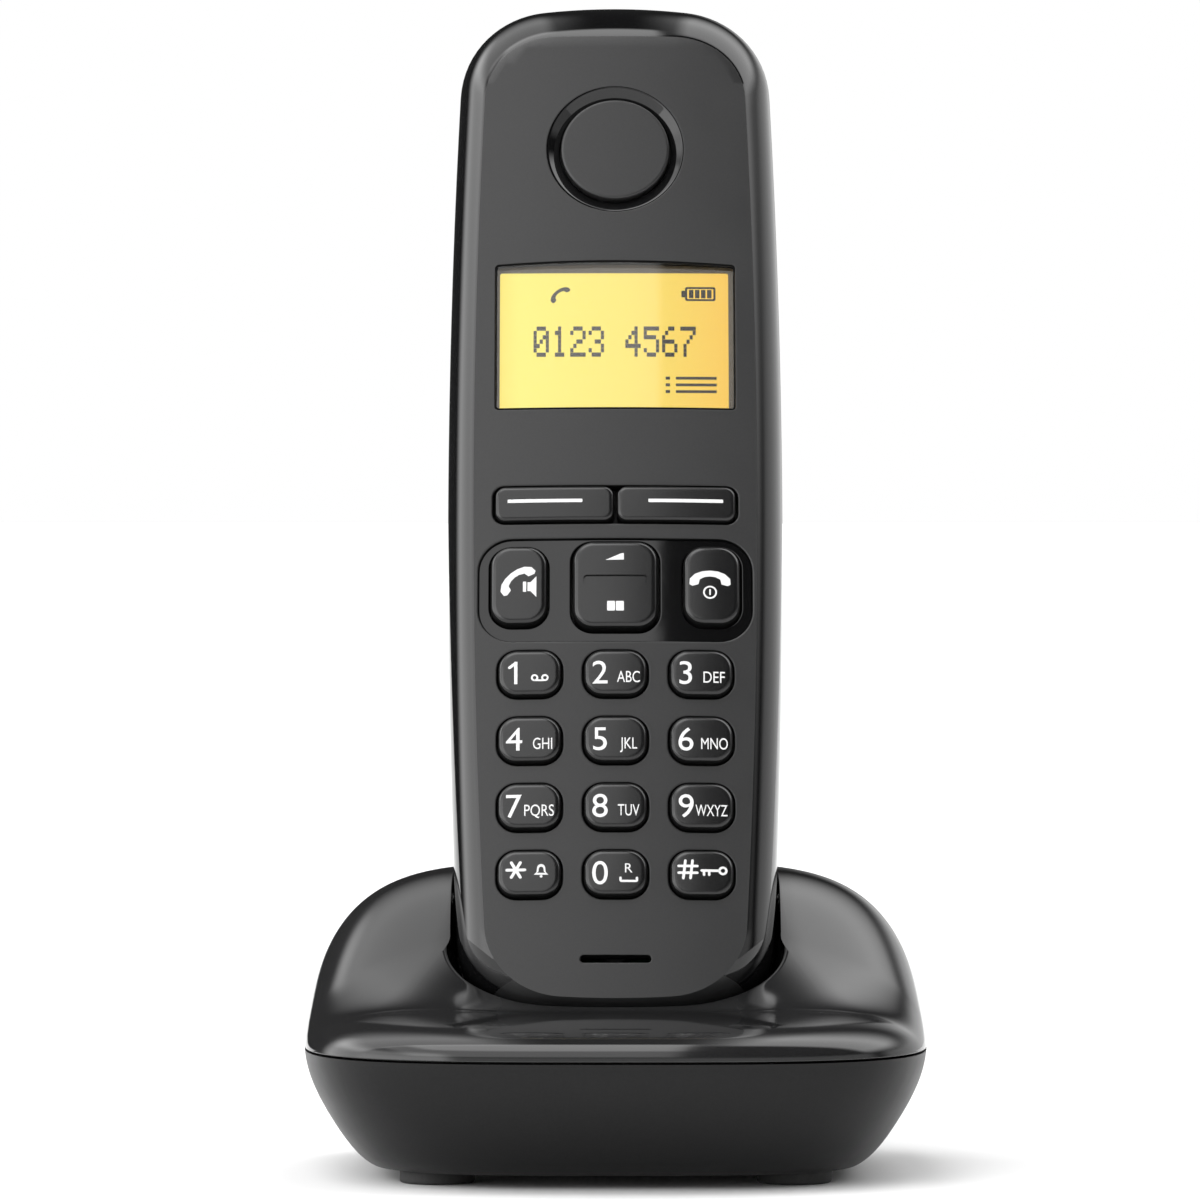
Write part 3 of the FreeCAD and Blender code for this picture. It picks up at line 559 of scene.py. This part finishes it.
# ---- Keys and their legends
class Cap:
    """A key cap: where its top is, and the shape of its gently crowned top."""

    def __init__(self, node, x, z, w, h, r, rise, edge, crown):
        self.node, self.x, self.z, self.w, self.h = node, x, z, w, h
        self.rise, self.edge, self.crown = rise, edge, crown
        self.loop = fixed_rect(x, z, w, h, r, 0.7)

    def height(self, x, z):
        u, v = (x - self.x) / (self.w / 2), (z - self.z) / (self.h / 2)
        return face_at(x) - self.rise + self.crown * (u * u + v * v) / 2

    def build(self, grooves=()):
        skin = Skin()
        edge = self.edge
        rows = [(-edge * (1 - math.sin(t)), edge * (1 - math.cos(t)))
                for t in np.linspace(0, math.pi / 2, 10)]
        rows = [(-edge - cap_flat, 0.0)] + rows + [(0.0, cap_skirt)]
        rings = [raised(self.loop(grow), self.height, down) for grow, down in rows]
        turn = 6
        skin.strip(rings[:turn + 1])
        # The lower half of the rounded edge and the skirt take the second material, the painted shade black:
        # painted shadow on the key's sides.
        skin.strip(rings[turn:], 1)
        for groove in grooves:
            skin.strip([raised(groove, self.height, down) for down in (0.0, groove_d)])
            skin.plate(groove, [], lambda px, pz: self.height(px, pz) + groove_d, 2.0)
        skin.plate(self.loop(-edge - cap_flat), grooves, self.height, 0.9)
        piece = skin.make(self.node + "_cap", [key_satin, painted_shade_black])
        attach(piece, self.node)
        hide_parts(self.node)


def stroke(path, width):
    """Closed loop round a path of points, with round ends."""
    path = np.asarray(path, float)
    along = np.gradient(path, axis=0)
    along /= np.linalg.norm(along, axis=1)[:, None]
    side = np.stack([-along[:, 1], along[:, 0]], -1) * width / 2

    def cap(end, way):
        """Points of the half circle round an end, from the way side of the path clockwise to the other."""
        begin = math.atan2(way * side[end][1], way * side[end][0])
        turns = begin - math.pi * np.arange(1, 6) / 6
        return path[end] + width / 2 * np.stack([np.cos(turns), np.sin(turns)], -1)
    return np.vstack([path + side, cap(-1, 1), (path - side)[::-1], cap(0, -1)])


def bow(x, z, r, start, stop, n=14):
    """Points of an arc, angles in degrees."""
    turns = np.radians(np.linspace(start, stop, n))
    return np.stack([x + r * np.cos(turns), z + r * np.sin(turns)], -1)


def type_mesh(text):
    """Flat points and triangles of a word in the plain built-in type, one unit in size."""
    curve = bpy.data.curves.new("type", "FONT")
    curve.body = text
    curve.size = 1.0
    curve.resolution_u = 6
    holder = put("type", curve)
    bpy.context.view_layer.update()
    made = bpy.data.meshes.new_from_object(holder.evaluated_get(bpy.context.evaluated_depsgraph_get()))
    flat = np.array([v.co[:2] for v in made.vertices]).reshape(-1, 2)
    faces = [list(p.vertices) for p in made.polygons]
    bpy.data.objects.remove(holder)
    bpy.data.meshes.remove(made)
    return flat, faces


CAP_HEIGHT = np.ptp(type_mesh("E")[0][:, 1])


def text_mesh(text, size, x, z, width):
    """The word with capitals of that size, centred on x, standing on z, and width wide over all when that is
    given."""
    flat, faces = type_mesh(text)
    middle, span = (flat[:, 0].max() + flat[:, 0].min()) / 2, np.ptp(flat[:, 0])
    scale_z = size / CAP_HEIGHT
    scale_x = width / span if width else scale_z
    return np.stack([(flat[:, 0] - middle) * scale_x + x, flat[:, 1] * scale_z + z], -1), faces


def printed(name, height, body, shapes=(), words=()):
    """Flat print on the surface that height tells. Shapes are (outer loop, holes), words are (text, size, x,
    z, width)."""
    skin = Skin()
    for word in words:
        flat, faces = text_mesh(*word)
        skin.add(raised(flat, height, -print_h), faces)
    for outer, holes in shapes:
        skin.plate(outer, holes, lambda px, pz: height(px, pz) - print_h, 0.8)
    piece = skin.make(name, [white_print], weld=False)
    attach(piece, body)


def bell(x, z):
    """A bell in outline, with its clapper below."""
    dome = bow(x, z + 0.35, 0.55, 180, 0, 12)
    skirt = [[x + 0.62, z - 0.25], [x + 0.98, z - 0.62], [x - 0.98, z - 0.62], [x - 0.62, z - 0.25]]
    body = np.vstack([dome, skirt])
    middle, share = np.array([x, z + 0.02]), 0.58
    hollow = middle + (body - middle) * share
    return [(body, [hollow]), (circle(x, z - 0.84, 0.19, 12), [])]


def small_key(x, z):
    """A key lying on its side: a ring, a shank and two teeth."""
    shapes = [(circle(x + 1.15, z, 0.62, 24), [circle(x + 1.15, z, 0.3, 18)]),
              (stroke([[x - 1.7, z], [x + 0.6, z]], 0.36), [])]
    for tooth in (x - 1.4, x - 0.7):
        shapes.append((stroke([[tooth, z - 0.1], [tooth, z - 0.6]], 0.34), []))
    return shapes


def voice_mail(x, z):
    """Two rings joined at the foot, as on a tape."""
    rings = [(circle(x + d, z, 0.5, 20), [circle(x + d, z, 0.25, 16)]) for d in (-0.7, 0.7)]
    return rings + [(stroke([[x - 0.7, z - 0.38], [x + 0.7, z - 0.38]], 0.24), [])]


def space_bar(x, z):
    """A flat bracket, open upwards."""
    path = [[x - 1.1, z + 0.4], [x - 1.1, z], [x - 1.05, z - 0.05], [x, z - 0.05], [x + 1.05, z - 0.05],
            [x + 1.1, z], [x + 1.1, z + 0.4]]
    return [(stroke(path, 0.32), [])]


def star(x, z):
    """Three crossed strokes."""
    arms = []
    reach = 1.2
    for turn in np.radians((0, 60, 120)):
        c, d = reach * math.cos(turn), reach * math.sin(turn)
        arms.append((stroke([[x - c, z - d], [x + c, z + d]], 0.4), []))
    return arms


def figure_one(x, z, size):
    """The digit 1 with a flag but no foot, standing on z."""
    width = 0.44
    bar = rounded_rect(x, z + size / 2, width, size, 0.04)
    flag = stroke([[x - 0.85, z + size - 0.85], [x - 0.4, z + size - 0.5], [x, z + size - 0.2]], width * 0.9)
    return [(bar, []), (flag, [])]


def hash_sign(x, z):
    """Two level bars crossed by two leaning posts."""
    reach, gap, lean, width = 1.25, 0.48, 0.14, 0.36
    strokes = []
    for off in (-gap, gap):
        strokes.append(stroke([[x - reach, z + off], [x + reach, z + off]], width))
        strokes.append(stroke([[x + off - lean, z - reach], [x + off + lean, z + reach]], width))
    return [(loop, []) for loop in strokes]


# The letters on a key, and how wide they stand
LETTERS = {"2": ("ABC", 3.1), "3": ("DEF", 2.9), "4": ("GHI", 2.6), "5": ("JKL", 2.3), "6": ("MNO", 3.6),
           "7": ("PQRS", 4.0), "8": ("TUV", 2.9), "9": ("WXYZ", 4.3)}


def build_digit_keys():
    digit_size, letter_size, call_size = 3.25, 1.6, 1.3
    digit_down, letter_down, digit_left = 1.75, 1.55, 2.1
    for name, x, z in digit_places():
        cap = Cap("key_" + name, x, z, digit_w, digit_h, digit_r, key_rise, digit_edge, digit_crown)
        cap.build()
        shapes = []
        words = []
        if len(name) == 1 and name != "1":
            words.append((name, digit_size, x - digit_left, z - digit_down, None))
        if name in LETTERS:
            letters, width = LETTERS[name]
            shift = 1.3 if len(letters) > 3 else 1.75
            words.append((letters, letter_size, x + shift, z - letter_down, width))
        if name == "1":
            shapes = figure_one(x - digit_left + 0.2, z - digit_down, digit_size)
            shapes += voice_mail(x + 1.35, z - 0.85)
        if name == "0":
            words.append(("R", call_size, x + 1.75, z - 0.1, None))
            shapes = space_bar(x + 1.75, z - 1.25)
        if name == "star":
            shapes = star(x - 1.8, z + 0.35) + bell(x + 1.6, z + 0.25)
        if name == "hash":
            shapes = hash_sign(x - 1.9, z + 0.4) + small_key(x + 1.65, z + 0.25)
        printed("legend_" + name, cap.height, "key_" + name, shapes, words)


def build_soft_keys():
    width = (soft_span - 5 * key_gap) / 2
    bar_w, bar_h = 10.2, 0.5
    for name, way in (("left", -1), ("right", 1)):
        x = way * (width + 2 * key_gap) / 2
        node = "soft_key_" + name
        cap = Cap(node, x, soft_z, width, soft_h - 2 * key_gap, soft_r, soft_rise, soft_edge, soft_crown)
        cap.build()
        bar = rounded_rect(x + way * 1.3, soft_z + 0.3, bar_w, bar_h, 0.12)
        printed("bar_" + name, cap.height, node, [(bar, [])])


def receiver(x, z, size, turn, bend=1.0):
    """Outline of a telephone receiver seen from the side, its back upwards, turned by turn degrees."""
    back = [(-1.0, -0.30), (-0.98, -0.02), (-0.72, 0.22), (-0.38, 0.34)]
    inner = [(0.86, -0.38), (0.56, -0.30), (0.50, -0.06), (0.25, 0.06)]
    points = back + [(0.0, 0.38)] + [(-px, pz) for px, pz in back[::-1]]
    points += inner + [(0.0, 0.09)] + [(-px, pz) for px, pz in inner[::-1]]
    c, s = math.cos(math.radians(turn)), math.sin(math.radians(turn))
    return np.array([(x + size * (px * c - bend * pz * s), z + size * (px * s + bend * pz * c))
                     for px, pz in points])


def build_control_panel():
    """The glossy panel, sunk a little below the face, that the talk, end and navigation keys stand in."""
    sink, side_clear, nav_clear_w, nav_clear_h, hole_r = 0.45, 0.4, 0.6, 0.7, 3.0

    def sunk(px, pz):
        return face_at(px) + sink
    loops = [fixed_rect(x, side_key_z, side_key_w + side_clear, side_key_h + side_clear, hole_r)
             for x in (-side_key_x, side_key_x)]
    loops.append(fixed_rect(0, nav_z, nav_w + nav_clear_w, nav_h + nav_clear_h, hole_r))
    skin = Skin()
    holes = [lip(skin, loop, sunk, 0.15, 1.4) for loop in loops]
    brim = fixed_rect(0, bezel_z, bezel_w, bezel_h, bezel_r - 0.05)(-0.05)
    skin.plate(brim, holes, sunk, 1.2)
    skin.strip([raised(brim, sunk, down) for down in (0.0, 1.2)])
    piece = skin.make("control_panel", [gloss_black])
    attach(piece, "handset")
    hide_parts("control_bezel")


def side_cap(node, x):
    """The cap of the talk or end key."""
    cap = Cap(node, x, side_key_z, side_key_w, side_key_h, side_key_r, key_rise, side_key_edge,
              side_key_crown)
    cap.build()
    return cap


def build_talk_key():
    """The talk key, with a receiver and a loudspeaker on it."""
    talk = side_cap("talk_key", -side_key_x)
    x, z = talk.x, talk.z
    horn = np.array([(x + 1.15, z - 1.05), (x + 1.55, z - 1.05), (x + 2.35, z - 1.9), (x + 2.35, z + 1.1),
                     (x + 1.55, z + 0.25), (x + 1.15, z + 0.25)])
    block = rounded_rect(x + 0.75, z - 0.4, 0.45, 1.5, 0.1)
    printed("sign_talk", talk.height, "talk_key",
            [(receiver(x - 0.45, z + 0.75, 2.8, 40), []), (horn, []), (block, [])])


def build_end_key():
    """The end key, with a laid-down receiver over a ring with a tick in it."""
    end = side_cap("end_key", side_key_x)
    x, z = end.x - 0.25, end.z
    ring = (circle(x, z - 1.2, 0.95, 28), [circle(x, z - 1.2, 0.72, 28)])
    tick = (stroke([[x, z - 0.85], [x, z - 1.5]], 0.22), [])
    printed("sign_end", end.height, "end_key", [(receiver(x, z + 0.85, 2.8, 0, 1.05), []), ring, tick])


def build_nav_key():
    """The navigation rocker, with a groove across it, a rising wedge above and an open book below."""
    nav = Cap("nav_key", 0, nav_z, nav_w, nav_h, nav_r, nav_rise, nav_edge, nav_crown)
    gz, half, bend = nav_z + 1.1, 4.2, 0.35
    path = np.vstack([[[-half, gz - 1.0], [-half, gz - 0.5]], bow(-half + bend, gz - bend, bend, 180, 90, 6),
                      [[-half / 2, gz], [0, gz], [half / 2, gz]],
                      bow(half - bend, gz - bend, bend, 90, 0, 6),
                      [[half, gz - 0.5], [half, gz - 1.0]]])
    nav.build([stroke(path, 0.3)])
    wedge = np.array([(-1.35, nav_z + 3.4), (1.15, nav_z + 3.45), (1.15, nav_z + 4.4), (0.75, nav_z + 4.35)])
    pages = [rounded_rect(x, nav_z - 3.3, 1.08, 1.4, 0.12) for x in (-0.6, 0.6)]
    printed("sign_nav", nav.height, "nav_key", [(loop, []) for loop in (wedge, *pages)])


# ---- Display
DIGIT_ROWS = {
    "0": "01110 10001 10011 10101 11001 10001 01110", "1": "00100 01100 00100 00100 00100 00100 01110",
    "2": "01110 10001 00001 00110 01000 10000 11111", "3": "01110 10001 00001 00110 00001 10001 01110",
    "4": "00010 00110 01010 10010 11111 00010 00010", "5": "11111 10000 11110 00001 00001 10001 01110",
    "6": "00110 01000 10000 11110 10001 10001 01110", "7": "11111 00001 00010 00100 01000 01000 01000",
}


def lit_panel(name):
    """The amber backlight: pale at the left, warmer at the right, a little darker at its rim."""
    made, tree, shader = blank(name)
    dial(shader, {"Base Color": (0.05, 0.04, 0.01, 1), "Roughness": 0.6, "Specular IOR Level": 0.1,
                  "Emission Strength": 0.92})
    edge = window_w / 2 * MM
    across = stretched(tree, axes(tree, "Object")[0], -edge, edge, 0.0, 1.0)
    ramp = tree.nodes.new("ShaderNodeValToRGB")
    stops = ((0.0, (1.0, 0.80, 0.13)), (0.10, (1.0, 0.90, 0.17)), (0.55, (1.0, 0.80, 0.13)),
             (1.0, (1.0, 0.59, 0.075)))
    while len(ramp.color_ramp.elements) < len(stops):
        ramp.color_ramp.elements.new(0.5)
    for element, (at, colour) in zip(ramp.color_ramp.elements, stops):
        element.position = at
        element.color = (*colour, 1)
    tree.links.new(across, ramp.inputs["Fac"])
    tree.links.new(ramp.outputs["Color"], shader.inputs["Emission Color"])
    return made


def flat_at(depth):
    return lambda px, pz: np.full_like(px, depth)


def build_window():
    """The display's pane, clear in front and behind, with painted shade black round its edge that stands for its
    shaded bevel.
    """
    lens = Skin()
    loop = window_loop()
    proud, chamfer, border = 0.08, 0.06, 0.2

    def top(px, pz):
        return face_at(px) + proud
    rings = [raised(loop(grow), top, down)
             for grow, down in ((-border, 0.0), (-chamfer, 0.0), (0.0, chamfer))]
    rim = loop(0.0)
    # The thin border, the chamfer and the side wall take the painted shade black: painted shade for the bevel.
    lens.strip(rings + [raised(rim, flat_at(lens_back))], 1)
    lens.plate(loop(-border), [], top, 2.0)
    lens.plate(rim, [], flat_at(lens_back), 3.0)
    piece = lens.make("display_window", [window_glass, painted_shade_black], out=None)
    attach(piece, "handset")
    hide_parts("display_lens")


def build_picture():
    """The lit panel behind the pane, and the gasket that frames it."""
    panel_w, panel_h, panel_r = 33.4, 23.0, 0.3
    picture = Skin()
    picture.plate(rounded_rect(0, picture_z, panel_w, panel_h, panel_r), [], flat_at(picture_y), 3.0)
    piece = picture.make("display_picture", [lit_panel("amber_backlight")])
    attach(piece, "handset")

    trim = Skin()
    inner = rounded_rect(-0.15, picture_z - 0.15, panel_w - 2.0, panel_h - 2.1, panel_r)
    outer = rounded_rect(0, picture_z + 0.1, panel_w, panel_h + 0.4, 0.4)
    trim.plate(outer, [inner], flat_at(gasket_front), 2.0)
    trim.strip([raised(inner, flat_at(y)) for y in (gasket_front, picture_y - 0.01)])
    piece = trim.make("display_gasket", [gasket])
    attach(piece, "handset")


def build_segments():
    """The dark dots and signs on the lit panel."""
    ink = Skin()

    def block(x, z, w, h, r, holes=()):
        ink.plate(rounded_rect(x, z, w, h, r), holes, flat_at(ink_y), 2.0)
    dot, stretch, digit_cols, digit_rows = 0.42, 1.55, 6, 7
    x0, z0 = -11.0, 96.1
    for place, digit in enumerate("0123 4567"):
        for row, bits in enumerate(DIGIT_ROWS.get(digit, "").split()):
            for col, bit in enumerate(bits):
                if bit == "1":
                    x = x0 + (place * digit_cols + col) * dot
                    z = z0 + (digit_rows - 1 - row) * dot * stretch
                    block(x, z, dot * 1.04, dot * 1.5, 0.04)
    sign_z, battery_x, list_x, list_z = 105.2, 11.7, 11.1, 92.6
    ink.plate(receiver(-7.7, sign_z, 1.6, 40), [], flat_at(ink_y), 2.0)
    block(battery_x, sign_z, 4.2, 2.1, 0.3, [rounded_rect(battery_x, sign_z, 3.6, 1.5, 0.12)])
    block(battery_x - 2.35, sign_z, 0.5, 1.0, 0.1)
    for i in range(4):
        block(battery_x - 1.25 + 0.83 * i, sign_z, 0.62, 1.25, 0.05)
    for i in range(3):
        block(list_x, list_z - i, 5.6, 0.42, 0.05)
        block(list_x - 3.9, list_z - i, 0.6, 0.46, 0.05)
    piece = ink.make("display_segments", [segment_ink])
    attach(piece, "handset")


# ---- Base
def eased(t):
    return t * t * (3 - 2 * t)


def dome_height(y):
    """Rise of the base's top above its parting line, before it rounds off to the edge."""
    t = np.clip((y - ledge_y) / (crest_y - ledge_y), 0, 1)
    ledge = ledge_h + ledge_tilt * (y - ledge_y)
    return ledge + (crest_h - ledge) * eased(t)


def dome_power(sine):
    """Exponent of the top's rounding at a bearing of that sine: crisp in front, soft elsewhere."""
    t = np.clip((-sine - front_begins) / (1 - front_begins), 0, 1)
    return rear_power + (front_power - rear_power) * eased(t)


def top_at(y, share, sine):
    """Height of the base's top at y from its middle, a share of the plan and a bearing of that sine."""
    return shell_z + dome_height(y) * np.sqrt(np.clip(1 - share ** dome_power(sine), 0, 1))


def plan_point(turn, share):
    """Place in plan, from the base's middle, at an angle and share of its outline."""
    c, s = np.cos(turn), np.sin(turn)
    r = (np.abs(c) ** plan_power + np.abs(s) ** plan_power) ** (-1 / plan_power)
    return share * base_a * r * c, share * base_b * r * s


def dome_point(turn, share):
    """Point of the base's top surface at an angle and share of the plan."""
    x, y = plan_point(turn, share)
    return np.stack([x, y + base_y, top_at(y, share, np.sin(turn))], -1)


def scoop_at(y):
    """How much wider the well is at depth y, to make room for fingers."""
    t = np.minimum(1.0, np.abs(y - scoop_y) / scoop_half)
    return scoop * (1 - t * t) ** 2


def well_value(points):
    """Negative inside the cradle well."""
    dy, dz = points[..., 1] - foot_y, points[..., 2] - foot_z
    x = np.abs(points[..., 0])
    y, z = dy * press[1] + dz * press[2], dy * lift[1] + dz * lift[2]
    front = y < part_y
    depth = np.where(front, front_edge_d, back_edge_d) + well_gap
    q = np.clip(np.abs(y - part_y) / depth, 0, 0.999)
    inset = np.where(front, front_edge_w, back_edge_w) * edge_inset(q)
    spread = well_gap + scoop_at(y)
    side, bottom = inset - spread, np.where(front, bottom_stretch, 1.0) * inset - spread
    parts = outline_parts(side, side, bottom)
    lx, lz, r = parts[7][:3]
    flank = np.hypot(x - (handset_w / 2 - side_r), z - side_z) - (side_r - side)
    sole = np.hypot(x, z - end_r) - (end_r - bottom)
    corner = np.hypot(x - lx, z - lz) - r
    value = np.where((x > lx) & (z < lz), corner, np.maximum(flank, np.where(z < end_r, sole, -1.0)))
    return np.maximum(value, np.maximum(face_at(x) - well_gap - y, y - back_at(z) - well_gap))


def well_rim(turns):
    """Share of the plan at which the top surface breaks into the well, for every turn."""
    def past(share):
        return well_value(dome_point(turns, share)) > 0
    return bisect(np.full(turns.shape, 0.2), np.full(turns.shape, 0.985), past)


def build_base_shell():
    """The upper shell's outside, from inside the seam over the edge and the top to the well's rolled rim."""
    skin = Skin(stay)
    sides = 480
    turns = np.arange(sides) * 2 * math.pi / sides
    rim = well_rim(turns)
    rim_points = dome_point(turns, rim)
    depth_y = (rim_points[:, 1] - foot_y) * press[1] + (rim_points[:, 2] - foot_z) * press[2]
    least_roll, more_roll = 0.35, 0.35
    roll = least_roll + more_roll * scoop_at(depth_y) / scoop
    start = rim + roll / np.hypot(*plan_point(turns, 1.0))
    power = dome_power(np.sin(turns))
    phi_knee = math.radians(78)
    knee = math.cos(phi_knee) ** (2 / power)
    rings = []
    for inset, up in ((1.6, 0.0), (seam, 0.0), (0.04, 0.04)):
        p = dome_point(turns, np.ones_like(turns))
        p[:, 0] *= 1 - inset / base_a
        p[:, 1] = base_y + (p[:, 1] - base_y) * (1 - inset / base_b)
        p[:, 2] += up
        rings.append(p)
    outer = [np.cos(phi_knee * t) ** (2 / power) for t in np.linspace(0, 1, 44)]
    inner = [knee + (start - knee) * t for t in np.linspace(0, 1, 56)[1:]]
    for share in outer + inner:
        p = dome_point(turns, share)
        p[:, 2] = np.maximum(p[:, 2], shell_z + seam)
        rings.append(p)
    edge = rings[-1]
    down = rim_points - np.outer(roll, lift)
    for t in np.linspace(0, 1, 8)[1:]:
        rings.append(edge * (1 - t) ** 2 + rim_points * 2 * t * (1 - t) + down * t * t)
    for drop in (0.5, 1.2, 2.2):
        rings.append(down - drop * lift)
    skin.strip(rings)
    piece = skin.make("base_cover", [base_gloss], sharp=40, out=(0, -0.2, 1))
    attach(piece, "base")
    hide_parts("base_upper_shell")


def build_well():
    """The cradle well: the handset's form grown by the gap, and scooped out at the sides."""
    well = Skin()
    for front in (True, False):
        way, reach = (-1, front_edge_d + well_gap) if front else (1, back_edge_d + well_gap)

        def grown(q):
            return body_points(q, front, well_gap, well_gap + scoop_at(part_y + way * q * reach))

        def cover(px, pz):
            return face_at(px) - well_gap if front else back_at(pz) + well_gap
        end = crease(front, grown, well_gap)
        well.strip([grown(end * t ** 0.6) for t in np.linspace(0, 1, 24)])
        well.plate(grown(end)[:, [0, 2]], [], cover, 2.0)
    piece = well.make("base_well", [base_gloss], out=None)
    trim_to_well(piece)
    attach(piece, "base")


def trim_to_well(piece):
    """Keeps only the part of the grown handset form that lies below the base's top surface."""
    under_top, under_crest = 0.7, 1.5
    work = bmesh.new()
    work.from_mesh(piece.data)
    co = np.array([v.co[:] for v in work.verts]) / MM
    x, y, z = co[:, 0], co[:, 1] - base_y, co[:, 2]
    across, along = np.abs(x / base_a), y / base_b
    share = (across ** plan_power + np.abs(along) ** plan_power) ** (1 / plan_power)
    sine = along / np.maximum(np.hypot(across, along), 1e-9)
    gone = z > np.minimum(top_at(y, share, sine) - under_top, crest_h + shell_z - under_crest)
    work.verts.ensure_lookup_table()
    bmesh.ops.delete(work, geom=[work.verts[i] for i in np.nonzero(gone)[0]], context="VERTS")
    bmesh.ops.reverse_faces(work, faces=work.faces)
    work.to_mesh(piece.data)
    work.free()


def finish_cad_nodes():
    """Gives every CAD node that still shows the finish of its slot."""
    for part in frame["record"]["subparts"]:
        finish = slot_finish.get(part["material_slot"])
        node = frame["nodes"][part["node"]]
        if finish and not node.hide_render:
            node.data.materials.clear()
            node.data.materials.append(finish)


# ---- Stage, light and camera
def build_floor():
    mesh = bpy.data.meshes.new("floor")
    half = 6.0
    mesh.from_pydata([(-half, -half, 0), (half, -half, 0), (half, half, 0), (-half, half, 0)], [],
                     [(0, 1, 2, 3)])
    floor = put("floor", mesh)
    mesh.materials.append(material("floor_paint", (0.8, 0.8, 0.8), 0.8, specular=0.1, grain=3.0,
                                   grain_depth=0.01, mottle=0.005))


def build_studio():
    """A white backdrop, and soft light from regions of the world's directions: x right, y back, z up."""
    world = bpy.data.worlds.new("studio")
    bpy.context.scene.world = world
    world.use_nodes = True
    tree = world.node_tree
    tree.nodes.clear()
    x, y, z = axes(tree, "Generated")

    def fade(value, start, stop):
        """0 up to start, 1 from stop on, with start above stop for a fall."""
        low, high = (0.0, 1.0) if start < stop else (1.0, 0.0)
        return stretched(tree, value, min(start, stop), max(start, stop), low, high, "SMOOTHSTEP")

    def blend(kind, values):
        """All the values multiplied or added together; each is a socket or a number."""
        total = values[0]
        for value in values[1:]:
            node = tree.nodes.new("ShaderNodeMath")
            node.operation = kind
            for socket, source in zip(node.inputs, (total, value)):
                if isinstance(source, (int, float)):
                    socket.default_value = source
                else:
                    tree.links.new(source, socket)
            total = node.outputs[0]
        return total

    regions = (
        # softbox in front and above, up to the zenith, ending just right of the middle
        (fade(y, 0.06, -0.02), fade(z, 0.34, 0.46), fade(x, 0.050, 0.038), fade(x, -0.75, -0.6), 1.85),
        # its brighter middle, overhead
        (fade(y, 0.06, -0.02), fade(z, 0.78, 0.88), fade(x, 0.050, 0.038), fade(x, -0.5, -0.4), 2.4),
        # panel at the left side
        (fade(x, -0.36, -0.5), fade(y, 0.75, 0.5), fade(z, 0.75, 0.5), fade(z, -0.2, 0.0), 2.6),
        # bright surroundings at the right and behind
        (fade(x, 0.0, 0.25), fade(y, 0.05, 0.35), fade(z, 0.5, 0.2), 0.9),
        # upper panels at either side
        (fade(x, 0.02, 0.16), fade(z, 0.3, 0.6), fade(y, -0.2, 0.0), fade(y, 0.85, 0.4), 3.4),
        (fade(x, -0.02, -0.14), fade(z, 0.3, 0.6), fade(y, -0.08, 0.04), fade(y, 0.85, 0.4), 2.1),
        # pale room in front
        (fade(y, 0.1, -0.2), fade(z, 0.42, 0.25), 0.8),
    )
    dim_rest = 0.03
    level = blend("ADD", [blend("MULTIPLY", region) for region in regions] + [dim_rest])
    seen = tree.nodes.new("ShaderNodeLightPath")
    plain, around = tree.nodes.new("ShaderNodeBackground"), tree.nodes.new("ShaderNodeBackground")
    for light in (plain, around):
        light.inputs["Color"].default_value = (1, 1, 1, 1)
    tree.links.new(level, around.inputs["Strength"])
    mix = tree.nodes.new("ShaderNodeMixShader")
    out = tree.nodes.new("ShaderNodeOutputWorld")
    tree.links.new(seen.outputs["Is Camera Ray"], mix.inputs["Fac"])
    tree.links.new(around.outputs[0], mix.inputs[1])
    tree.links.new(plain.outputs[0], mix.inputs[2])
    tree.links.new(mix.outputs[0], out.inputs["Surface"])


def build_camera():
    """In front of the phone and a little above it, so far off that the frame is seen_w wide there."""
    distance, height, aim_z, aim_y, seen_w = 1200.0, 105.0, 77.0, 8.0, 163.488
    view = bpy.data.cameras.new("view")
    view.sensor_width = 36.0
    view.lens = view.sensor_width * math.hypot(distance + aim_y, height - aim_z) / seen_w
    view.clip_start, view.clip_end = 0.01, 50
    camera = put("view", view)
    camera.location = (-2.1 * MM, (base_y - distance) * MM, height * MM)
    camera.rotation_euler = (math.radians(90) - math.atan2(height - aim_z, distance + aim_y), 0, 0)
    bpy.context.scene.camera = camera


build_front_shell()
build_earpiece()
build_digit_keys()
build_soft_keys()
build_control_panel()
build_talk_key()
build_end_key()
build_nav_key()
build_window()
build_picture()
build_segments()
build_base_shell()
build_well()
finish_cad_nodes()
build_floor()
build_studio()
build_camera()
bpy.context.scene.view_settings.view_transform = "Standard"
